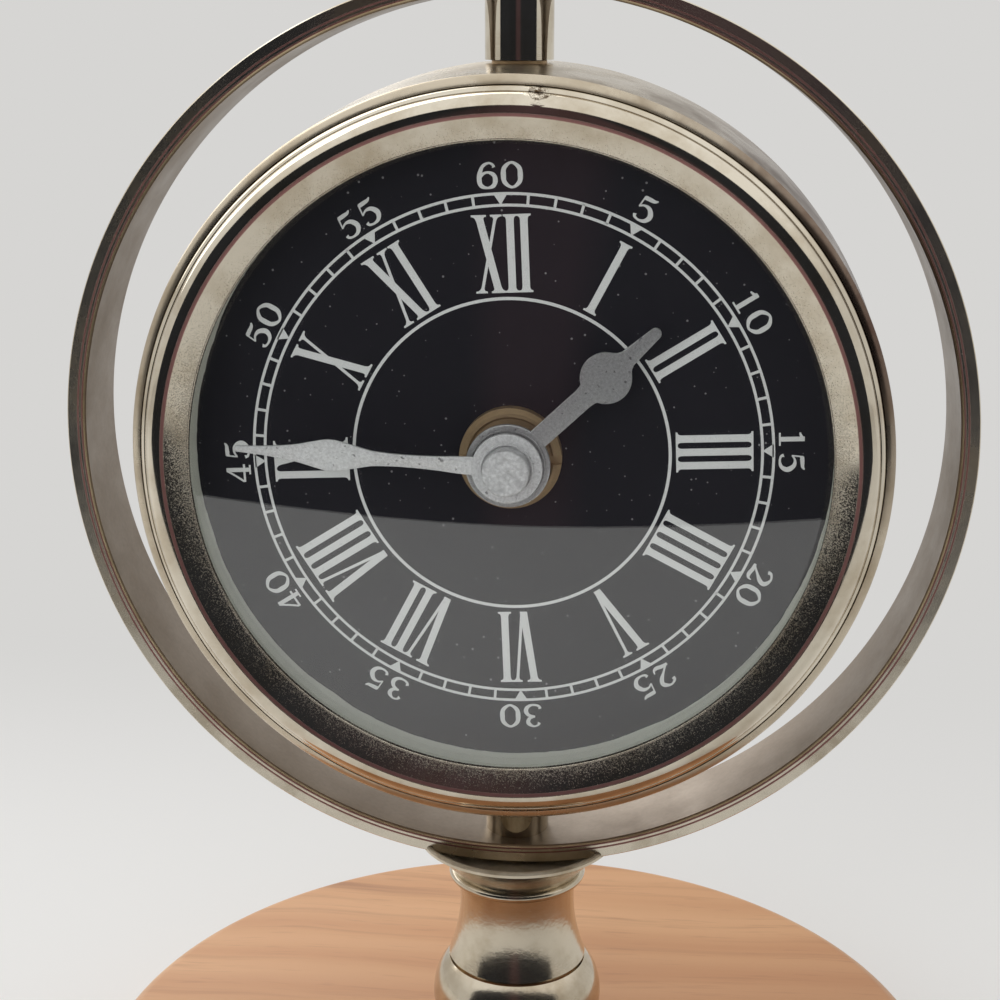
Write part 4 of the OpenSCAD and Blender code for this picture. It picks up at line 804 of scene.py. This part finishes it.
# Pen strokes of the minute figures in a box 1 wide and 1 high: (x, y, half width)
FIGURES = {
    "0": [([(0.5, 0.97, 0.055), (0.16, 0.78, 0.11), (0.1, 0.5, 0.14), (0.16, 0.22, 0.11), (0.5, 0.03, 0.055),
            (0.84, 0.22, 0.11), (0.9, 0.5, 0.14), (0.84, 0.78, 0.11)], True)],
    "1": [([(0.52, 1.0, 0.13), (0.52, 0.5, 0.13), (0.52, 0.02, 0.13)], False),
          ([(0.2, 0.035, 0.04), (0.84, 0.035, 0.04)], False),
          ([(0.5, 0.93, 0.07), (0.36, 0.86, 0.06), (0.2, 0.82, 0.035)], False)],
    "2": [([(0.2, 0.72, 0.11), (0.2, 0.85, 0.07), (0.48, 0.96, 0.05), (0.8, 0.82, 0.12), (0.78, 0.62, 0.12),
            (0.5, 0.36, 0.06), (0.14, 0.06, 0.045)], False),
          ([(0.1, 0.09, 0.06), (0.4, 0.1, 0.09), (0.7, 0.06, 0.09), (0.88, 0.12, 0.06), (0.92, 0.26, 0.03)], False)],
    "3": [([(0.2, 0.8, 0.1), (0.28, 0.92, 0.05), (0.52, 0.96, 0.05), (0.76, 0.8, 0.12), (0.66, 0.6, 0.08),
            (0.4, 0.54, 0.04)], False),
          ([(0.4, 0.54, 0.04), (0.72, 0.48, 0.08), (0.86, 0.28, 0.13), (0.72, 0.09, 0.08), (0.46, 0.03, 0.05),
            (0.2, 0.08, 0.06), (0.14, 0.2, 0.1)], False)],
    "4": [([(0.66, 1.0, 0.12), (0.66, 0.5, 0.12), (0.66, 0.02, 0.12)], False),
          ([(0.6, 0.96, 0.05), (0.34, 0.62, 0.05), (0.06, 0.3, 0.05)], False),
          ([(0.04, 0.27, 0.05), (0.94, 0.27, 0.05)], False),
          ([(0.42, 0.035, 0.04), (0.9, 0.035, 0.04)], False)],
    "5": [([(0.24, 0.9, 0.09), (0.5, 0.91, 0.09), (0.74, 0.92, 0.07), (0.88, 0.99, 0.03)], False),
          ([(0.24, 0.95, 0.04), (0.2, 0.7, 0.04), (0.17, 0.5, 0.04)], False),
          ([(0.17, 0.52, 0.04), (0.4, 0.62, 0.05), (0.68, 0.57, 0.1), (0.86, 0.33, 0.14), (0.72, 0.1, 0.09),
            (0.44, 0.03, 0.05), (0.2, 0.08, 0.06), (0.15, 0.19, 0.1)], False)],
    "6": [([(0.5, 0.62, 0.05), (0.2, 0.5, 0.09), (0.12, 0.31, 0.13), (0.22, 0.11, 0.1), (0.5, 0.03, 0.05),
            (0.78, 0.11, 0.1), (0.88, 0.31, 0.13), (0.8, 0.52, 0.1)], True),
          ([(0.12, 0.31, 0.13), (0.14, 0.55, 0.12), (0.3, 0.85, 0.08), (0.58, 0.97, 0.05), (0.78, 0.9, 0.06),
            (0.82, 0.8, 0.09)], False)],
}


def serif(x, y, lean, stem, out, into):
    """Foot of a stroke at (x, y): a flat bar with hollow shoulders that run into the stem."""
    thick, tall = 0.2, 0.75
    rows = [(x - out, x + out, y)]
    for t in (0, 0.35, 0.6, 0.8, 1):
        half, shift = out - (out - stem) * (1 - (1 - t) ** 2), lean * tall * t * t
        rows.append((x - half + shift, x + half + shift, y + into * (thick + (tall - thick) * t * t)))
    return [((a[0], a[2]), (b[0], b[2]), (b[1], b[2]), (a[1], a[2])) for a, b in zip(rows, rows[1:])]


def roman_stroke(x0, x1, stem, out, high, feet=(True, True)):
    """One stroke of a Roman figure from (x0, 0) to (x1, high) with serifs at its feet."""
    strokes = [[((x0 - stem, 0), (x1 - stem, high), (x1 + stem, high), (x0 + stem, 0))]]
    slope = (x1 - x0) / high
    if feet[0]:
        strokes.append(serif(x0, 0, slope, stem, out, 1))
    if feet[1]:
        strokes.append(serif(x1, high, -slope, stem, out, -1))
    return strokes


def roman(text, high):
    """Strokes of a Roman figure, each a list of quads, centred on x = 0."""
    stem, thin = 0.43, 0.17
    advance = {"I": 1.56, "V": 3.1, "X": 3.45}
    x = -sum(advance[c] for c in text) / 2
    strokes = []
    for c in text:
        mid = x + advance[c] / 2
        if c == "I":
            strokes += roman_stroke(mid, mid, stem, 0.78, high)
        elif c == "V":
            strokes += roman_stroke(mid + 0.1, mid - 0.95, stem, 0.85, high, (False, True))
            strokes += roman_stroke(mid + 0.28, mid + 1.1, thin, 0.6, high, (False, True))
        else:
            strokes += roman_stroke(mid + 1.0, mid - 1.0, stem, 0.85, high)
            strokes += roman_stroke(mid - 0.95, mid + 0.95, thin, 0.65, high)
        x += advance[c]
    return strokes


def swing(x, y, a):
    """A point of the dial turned clockwise about its middle."""
    return x * math.cos(a) + y * math.sin(a), y * math.cos(a) - x * math.sin(a)


class CLOCK_OT_dial(bpy.types.Operator):
    """Black dial plate with its printed track and figures, and the pieces of turned brass"""
    bl_idname = "clock.dial"
    bl_label = "Dial"

    def execute(self, context):
        dial = context.scene.clock_dial
        front, back = (v.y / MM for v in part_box("dial_plate"))
        r, bore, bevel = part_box("dial_plate")[1].x / MM, 4.02, 0.1
        profile = [(bore, back), (bore, front)] + [(bore + (r - bore) * i / 12, front) for i in range(1, 12)]
        plate = turned("dial_disc", profile + [(r - bevel, front), (r, front + bevel), (r, back)], "dial")
        settle(plate, "head", "dial_black", black_lacquer(), "dial_plate")
        # The track, the ring inside the hours, the minute figures (with their box and pen) and the hours
        outer, half = dial.track_radius / MM, dial.line_width / MM / 2
        inner, ring_r, ring_half, ring_steps = outer - 1.28, 18.25, 0.18, 360
        wide, tall, gap, pen, stand_off = 2.35, 2.9, 0.4, 0.88, 0.58
        hour_foot, hour_high = 18.9, 8.8
        strokes = []
        for radius, w in ((outer, half), (inner, half), (ring_r, ring_half)):
            ring = [((radius - w, a), (radius + w, a))
                    for a in [2 * math.pi * i / ring_steps for i in range(ring_steps)]]
            strokes.append([[(p * math.sin(t), p * math.cos(t)) for p, t in (a[0], a[1], b[1], b[0])]
                            for a, b in zip(ring, ring[1:] + ring[:1])])
        for minute in range(60):
            a = math.radians(6 * minute)
            tick = ((-half, inner), (-half, outer), (half, outer), (half, inner))
            arrow = ((-0.8, outer), (0.8, outer), (0.05, inner + 0.1), (-0.05, inner + 0.1))
            strokes.append([[swing(x, y, a) for x, y in (tick if minute % 5 else arrow)]])
            if minute % 5:
                continue
            text = str(minute or 60)
            span = len(text) * wide + (len(text) - 1) * gap
            for k, c in enumerate(text):
                left = -span / 2 + k * (wide + gap)
                for points, closed in FIGURES[c]:
                    quads = ribbon([(x, y, pen * w) for x, y, w in points], closed)
                    strokes.append([[swing(left + x * wide, outer + stand_off + y * tall, a) for x, y in q]
                                    for q in quads])
            hour = minute // 5 or 12
            figure = ("I", "II", "III", "IIII", "V", "VI", "VII", "VIII", "IX", "X", "XI", "XII")[hour - 1]
            strokes += [[[swing(x, y + hour_foot, a) for x, y in q] for q in stroke]
                        for stroke in roman(figure, hour_high)]
        # Each stroke lies a hair higher or lower than its neighbours, so that crossing strokes do not coincide
        film, layer, layers = 0.03, 0.006, 7
        bm = bmesh.new()
        spin = dial.print_turn
        for k, stroke in enumerate(strokes):
            lift = front - film - layer * (k % layers)
            for q in stroke:
                bm.faces.new([bm.verts.new(((x * math.cos(spin) - z * math.sin(spin)) * MM, lift * MM,
                                            (DIAL_Z + z * math.cos(spin) + x * math.sin(spin)) * MM)) for x, z in q])
        bmesh.ops.remove_doubles(bm, verts=bm.verts, dist=WELD)
        mesh = bpy.data.meshes.new("dial_print")
        bm.normal_update()
        for face in bm.faces:
            if face.normal.y > 0:
                face.normal_flip()
        bm.to_mesh(mesh)
        bm.free()
        printed = bpy.data.objects.new("dial_print", mesh)
        context.scene.collection.objects.link(printed)
        thick = printed.modifiers.new("ink_film", "SOLIDIFY")
        thick.thickness = (film - 0.005) * MM
        thick.offset = -1
        settle(printed, "head", "dial_black", screen_ink())
        brass = bare_metal("turned_brass", context.scene.clock_metal.brass, 0.5, (1, 1, 1), 1.0, metallic=0.75)
        dress(brass, "dial_nut", "minute_arbor", "upper_bush", "lower_bush")
        return {"FINISHED"}


def loft(bm, rows, closed):
    """Skins rows of corners one after another; an open run gets a face on each end."""
    n = len(rows[0])
    for a, b in zip(rows, rows[1:] + rows[:1] if closed else rows[1:]):
        for i in range(n):
            bm.faces.new((a[i], a[(i + 1) % n], b[(i + 1) % n], b[i]))
    if not closed:
        bm.faces.new(rows[0])
        bm.faces.new(rows[-1])


def hand_leaf(bm, sides, tip_r, front, depth, fall, angle, ridge=0.0, twist=0.0):
    """Leaf of a hand, given as (distance, half width) from the hub outwards, with a ridge and a twist along it."""
    tip, a = sides[-1][0], math.radians(angle)
    stations = list(sides) + [(tip + tip_r * math.sin(math.radians(t)), tip_r * math.cos(math.radians(t)))
                              for t in (20, 40, 60, 78)] + [(tip + tip_r, 0.02)]
    # Rounding of the edges, and the length over which the twist sets in
    soft, sets_in = 0.07, 4
    rows = []
    for d, w in stations:
        inner = max(w - soft, w * 0.6)
        drop = fall * inner / max(w, 0.5)
        far = (1 - ridge) * twist * w if twist else drop
        section = [(-w, depth), (-w, drop + soft), (-inner, drop), (ridge * w, 0), (inner, far), (w, far + soft),
                   (w, depth)]
        lean = twist * min(1, (d - sides[0][0]) / sets_in)
        rows.append([bm.verts.new(((x * math.cos(a) + d * math.sin(a)) * MM, (front + y - lean * x) * MM,
                                   (DIAL_Z + d * math.cos(a) - x * math.sin(a)) * MM)) for x, y in section])
    loft(bm, rows, False)


def hub_ring(bm, profile, ends=None):
    """Adds a turned ring to a hand; a split ring runs between two angles in degrees."""
    steps = 128
    start, end = ends or (0, 360)
    rows = []
    for i in range(steps + 1 if ends else steps):
        a = math.radians(start + (end - start) * i / steps)
        rows.append([bm.verts.new((r * math.sin(a) * MM, y * MM, (DIAL_Z + r * math.cos(a)) * MM)) for r, y in profile])
    loft(bm, rows, not ends)


class CLOCK_OT_hands(bpy.types.Operator):
    """Hour hand, minute hand and the cap on it"""
    bl_idname = "clock.hands"
    bl_label = "Hands"

    def execute(self, context):
        crease, flat_fall, thick = context.scene.clock_hand.crease / MM, 0.06, 0.5
        # A hub's rounded front edge from its corner, and a split ring from its middle on the hub's face, in mm
        hub_edge = ((-0.12, 0), (-0.03, 0.05), (0, 0.14))
        ring_edge = ((-0.1, 0.02), (-0.08, -0.4), (0.06, -0.4), (0.1, -0.34), (0.1, 0.02))
        # Piece, node, body, radii of hub and boss, length of the boss, bore, front face, split ring's radius and ends
        for name, node, body, hub, boss, boss_len, bore, front, ring_r, ends in (
                ("hour_hand_stamped", "hour_hand", "hour_group", 4.8, 3.3, 1.2, 2.57, -15.7, 4.22, (12, 352)),
                ("minute_hand_stamped", "minute_hand", "minute_group", 4.0, 2.7, 0.3, 1.76, -17.0, 2.92, (45, 385))):
            bm = bmesh.new()
            rear = front + thick
            hub_ring(bm, [(bore, front)] + [(hub + dr, front + dy) for dr, dy in hub_edge]
                     + [(hub, rear), (boss, rear), (boss, rear + boss_len), (bore, rear + boss_len)])
            hub_ring(bm, [(ring_r + dr, front + dy) for dr, dy in ring_edge], ends)
            if node == "minute_hand":
                paint = silver_paint("pale_silver_powder_coat", 0.36)
                length, tip_r, points_at = 31.0, 0.36, 273.2
                widest, waist_at = 0.645 * length, 0.38 * length
                sides = [(hub - 0.6, 1.1)] + curve((hub + 2, 1.0), (waist_at, 0.55), (widest - 4.6, 0.95))
                sides += curve((widest - 1.2, 1.78), (widest, 2.1), (widest + 1.2, 1.78))
                sides += curve((widest + 3.6, 1.15), (widest + 6, 0.62), (length - tip_r, tip_r))
                hand_leaf(bm, sides, tip_r, front, thick, crease, points_at, ridge=0.55, twist=0.24)
            else:
                paint = silver_paint("silver_powder_coat", 0.85)
                length, tip_r, points_at = 23.0, 0.65, 46.7
                bulb_at, bulb_r, neck, stem = 0.65 * length, 2.9, 1.4, 1.18
                neck_at = bulb_at - math.sqrt(bulb_r ** 2 - neck ** 2)
                sides = [(hub - 0.8, stem), (neck_at - 1, stem), (neck_at - 0.3, 1.26), (neck_at, neck)]
                sides += [(bulb_at + bulb_r * math.sin(math.radians(a)), bulb_r * math.cos(math.radians(a)))
                          for a in range(-55, 56, 5)]
                sides += [(bulb_at + bulb_r - 0.1, 1.22), (bulb_at + bulb_r + 0.4, 0.98), (length - tip_r, tip_r)]
                hand_leaf(bm, sides, tip_r, front, thick, flat_fall, points_at)
            settle(finish_mesh(name, bm, 22), body, "hand_grey", paint, node)
        # Cap: a blind bore from behind, a round front edge
        back, cap_h, r, rounding, bore, bore_end = -17.05, 2.3, 2.65, 0.35, 1.76, -18.25
        front = back - cap_h
        profile = [(0, bore_end), (bore, bore_end), (bore, back), (r, back)]
        profile += arc((r - rounding, front + rounding), rounding, 0, -90, 10) + [(r * 0.5, front), (0, front)]
        cap = turned("cap_turned", profile, "dial", 128)
        finish = silver_paint("silver_powder_coat_pebbled", 0.25, pebbled=True)
        settle(cap, "minute_group", "hand_grey", finish, "hand_cap")
        return {"FINISHED"}


class CLOCK_OT_movement(bpy.types.Operator):
    """Finishes of the movement inside the drum"""
    bl_idname = "clock.movement"
    bl_label = "Movement"

    def execute(self, context):
        dress(moulded("black_ABS", "232326", 0.5, 0.8), "movement_front_case", "movement_rear_case", "setting_knob")
        dress(moulded("natural_acetal", "E6E3D8", 0.45, 1.0, dark=0.92), "train_bridge", "hour_wheel", "minute_wheel",
              "intermediate_wheel", "seconds_wheel", "third_wheel", "centre_wheel")
        dress(moulded("solder_mask_on_glass_fibre", "1F5A34", 0.3, 0.5, gloss=0.4), "circuit_board")
        dress(moulded("shrink_wrapped_cell", "2A2A30", 0.25, 3.0, gloss=0.5), "battery_cell")
        dress(moulded("nitrile_rubber", "1C1C1C", 0.8, 0.6), "dial_washer")
        dress(moulded("sintered_ferrite", "56565A", 0.6, 0.3, dark=0.6), "rotor")
        # Copper wire of 0.05 mm, drawn at 0.3 mm
        dress(bare_metal("enamelled_copper_winding", "B0693C", 0.3, (1, 0.05, 0.05), 0.3), "coil")
        dress(bare_metal("stamped_steel", "B4B6B8", 0.36, (0.3, 1, 1), 0.6), "stator", "quartz_crystal",
              "positive_contact", "negative_contact")
        return {"FINISHED"}


def soft_light(name, shape, size, power, place, aim):
    """Area light of a width and height in metres that shines from a place along a direction."""
    lamp = bpy.data.lights.new(name, "AREA")
    lamp.shape = shape
    lamp.size, lamp.size_y = size
    lamp.energy = power
    box = bpy.data.objects.new(name, lamp)
    box.matrix_world = Matrix.Translation(place) @ Vector(aim).to_track_quat("-Z", "Y").to_matrix().to_4x4()
    bpy.context.scene.collection.objects.link(box)
    return box


class CLOCK_OT_stage(bpy.types.Operator):
    """Floor, soft light, dark screen behind the camera, and the camera"""
    bl_idname = "clock.stage"
    bl_label = "Stage"

    def execute(self, context):
        scene = context.scene
        stage = scene.clock_stage
        scene.view_settings.view_transform = "Standard"
        bm = bmesh.new()
        bmesh.ops.create_circle(bm, cap_ends=True, segments=96, radius=4.0)
        floor = finish_mesh("floor", bm)
        made, tree, shader, place = begin("seamless_paper", roughness=0.9)
        # The paper is faintly cloudy, in patches of about 30 mm
        fibre = put(tree, "ShaderNodeTexNoise", {"Vector": place, "Scale": per_mm(30), "Detail": 3.0}).outputs["Fac"]
        pale = linear(stage.floor)
        colour = put(tree, "ShaderNodeMix", {0: fibre, 6: dimmed(pale, 0.985), 7: pale}, data_type="RGBA").outputs[2]
        # The paper is graduated: it falls off to the backdrop's tone behind the clock, over these metres
        falls_from, falls_to = 0.02, 0.2
        behind = put(tree, "ShaderNodeSeparateXYZ", {0: place}).outputs["Y"]
        far = put(tree, "ShaderNodeMapRange", {"Value": behind, "From Min": falls_from, "From Max": falls_to},
                  interpolation_type="SMOOTHSTEP").outputs[0]
        flat = put(tree, "ShaderNodeEmission", {"Color": linear(stage.backdrop)}).outputs[0]
        connect(tree, shader, colour)
        sweep = put(tree, "ShaderNodeMixShader", {0: far, 1: shader.outputs[0], 2: flat}).outputs[0]
        tree.links.new(sweep, tree.nodes["Material Output"].inputs["Surface"])
        floor.data.materials.append(made)
        # Painted reflection: a glowing dark sheet behind the camera stands in for the dark room, so that polished metal
        # and glass show their form; only reflections and the view through glass see it
        bm = bmesh.new()
        away, tall, wide = 0.262, 0.31, 0.5
        bm.faces.new([bm.verts.new((x, -away, z)) for x, z in ((-wide, MM), (wide, MM), (wide, tall), (-wide, tall))])
        screen = finish_mesh("dark_screen", bm)
        made, tree, shader, place = begin("glowing_dark_reflection_screen")
        tree.nodes.remove(shader)
        # The glowing sheet is mottled in dark greys, in patches of about 220 mm
        screen_mottle = put(tree, "ShaderNodeTexNoise", {"Vector": place, "Scale": per_mm(220), "Detail": 2.0}).outputs["Fac"]
        colour = put(tree, "ShaderNodeMix", {0: screen_mottle, 6: linear("191A1E"), 7: linear("33353A")},
                     data_type="RGBA").outputs[2]
        # A dim reddish glowing strip down the middle, a painted reflection for the metal to mirror, with its half width
        # in metres where it starts and is full
        red_strip_out, red_strip_in = 0.045, 0.02
        aside = put(tree, "ShaderNodeVectorMath", {0: place, 1: (1, 0, 0)}, operation="MULTIPLY").outputs[0]
        aside = put(tree, "ShaderNodeVectorMath", {0: aside}, operation="LENGTH").outputs["Value"]
        middle = put(tree, "ShaderNodeMapRange", {"Value": aside, "From Min": red_strip_out, "From Max": red_strip_in,
                                                 "To Max": 0.45}).outputs[0]
        colour = put(tree, "ShaderNodeMix", {0: middle, 6: colour, 7: linear("664C51")}, data_type="RGBA").outputs[2]
        glow = put(tree, "ShaderNodeEmission", {"Color": colour}).outputs[0]
        tree.links.new(glow, tree.nodes["Material Output"].inputs["Surface"])
        screen.data.materials.append(made)
        for ray in ("camera", "diffuse", "volume_scatter", "shadow"):
            setattr(screen, "visible_" + ray, False)
        world = bpy.data.worlds.new("studio")
        scene.world = world
        world.use_nodes = True
        tree = world.node_tree
        tree.nodes.remove(tree.nodes["Background"])
        path = put(tree, "ShaderNodeLightPath")
        seen = put(tree, "ShaderNodeMath", {0: path.outputs["Is Camera Ray"], 1: path.outputs["Is Glossy Ray"]},
                   operation="MAXIMUM").outputs[0]
        seen = put(tree, "ShaderNodeMath", {0: seen, 1: path.outputs["Is Transmission Ray"]},
                   operation="MAXIMUM").outputs[0]
        # Mirrored by the metal, the room is paler overhead
        look = put(tree, "ShaderNodeTexCoord").outputs["Generated"]
        height = put(tree, "ShaderNodeSeparateXYZ", {0: look}).outputs["Z"]
        above = put(tree, "ShaderNodeMapRange", {"Value": height, "From Min": 0.25, "From Max": 0.6}).outputs[0]
        room = put(tree, "ShaderNodeMix", {0: above, 6: linear(stage.backdrop), 7: linear("FFFFFF")},
                   data_type="RGBA").outputs[2]
        shown = put(tree, "ShaderNodeBackground", {"Color": room}).outputs[0]
        fill = put(tree, "ShaderNodeBackground", {"Color": linear("FFFFFF"), "Strength": stage.fill}).outputs[0]
        mixed = put(tree, "ShaderNodeMixShader", {0: seen, 1: fill, 2: shown}).outputs[0]
        tree.links.new(mixed, tree.nodes["World Output"].inputs["Surface"])
        soft_light("soft_box", "RECTANGLE", (0.8, 0.7), stage.key, (-0.38, 0.44, 0.55), (0.38, -0.44, -0.5))
        front = soft_light("front_light", "DISK", (1.4, 1.4), stage.front, (-0.6, -1.8, 0.6), (0.6, 1.8, -0.5))
        front.visible_glossy = False
        front.visible_transmission = False
        # Camera fitted to the photograph's ellipses, with its focal length in pixels of the frame
        focal, frame_px, pan, tilt, place = 1800, 1000, 4.9, -15.41, (0.016, -0.21295, 0.15187)
        eye = bpy.data.cameras.new("camera")
        eye.sensor_width = 36
        eye.lens = eye.sensor_width * focal / frame_px
        eye.clip_start = 0.005
        camera = bpy.data.objects.new("camera", eye)
        turn = Matrix.Rotation(math.radians(pan), 3, "Z") @ Matrix.Rotation(math.radians(tilt), 3, "X")
        axes = [turn @ Vector(v) for v in ((1, 0, 0), (0, 0, 1), (0, -1, 0))]
        camera.matrix_world = Matrix.Translation(place) @ Matrix(axes).transposed().to_4x4()
        scene.collection.objects.link(camera)
        scene.camera = camera
        return {"FINISHED"}


OPERATORS = (CLOCK_OT_stage, CLOCK_OT_base, CLOCK_OT_column, CLOCK_OT_hoop, CLOCK_OT_drum, CLOCK_OT_bezel,
             CLOCK_OT_dial, CLOCK_OT_hands, CLOCK_OT_movement)
GROUPS = {"clock_stand": StandSettings, "clock_metal": MetalSettings, "clock_dial": DialSettings,
          "clock_hand": HandSettings, "clock_stage": StageSettings}


class CLOCK_PT_panel(bpy.types.Panel):
    """Settings and steps of the table clock"""
    bl_idname = "CLOCK_PT_panel"
    bl_label = "Table clock"
    bl_space_type = "VIEW_3D"
    bl_region_type = "UI"
    bl_category = "Clock"

    def draw(self, context):
        for name, group in GROUPS.items():
            column = self.layout.column(heading=group.__doc__)
            for key in group.__annotations__:
                column.prop(getattr(context.scene, name), key)
        for step in OPERATORS:
            self.layout.operator(step.bl_idname)


def register():
    for made in (*GROUPS.values(), *OPERATORS, CLOCK_PT_panel):
        bpy.utils.register_class(made)
    for name, group in GROUPS.items():
        setattr(bpy.types.Scene, name, bpy.props.PointerProperty(type=group))


def unregister():
    for name in GROUPS:
        delattr(bpy.types.Scene, name)
    for made in (CLOCK_PT_panel, *reversed(OPERATORS), *reversed(GROUPS.values())):
        bpy.utils.unregister_class(made)


def main():
    register()
    for step in OPERATORS:
        group, name = step.bl_idname.split(".")
        if getattr(getattr(bpy.ops, group), name)() != {"FINISHED"}:
            raise RuntimeError(step.bl_label + " was not finished")


if __name__ == "__main__":
    main()
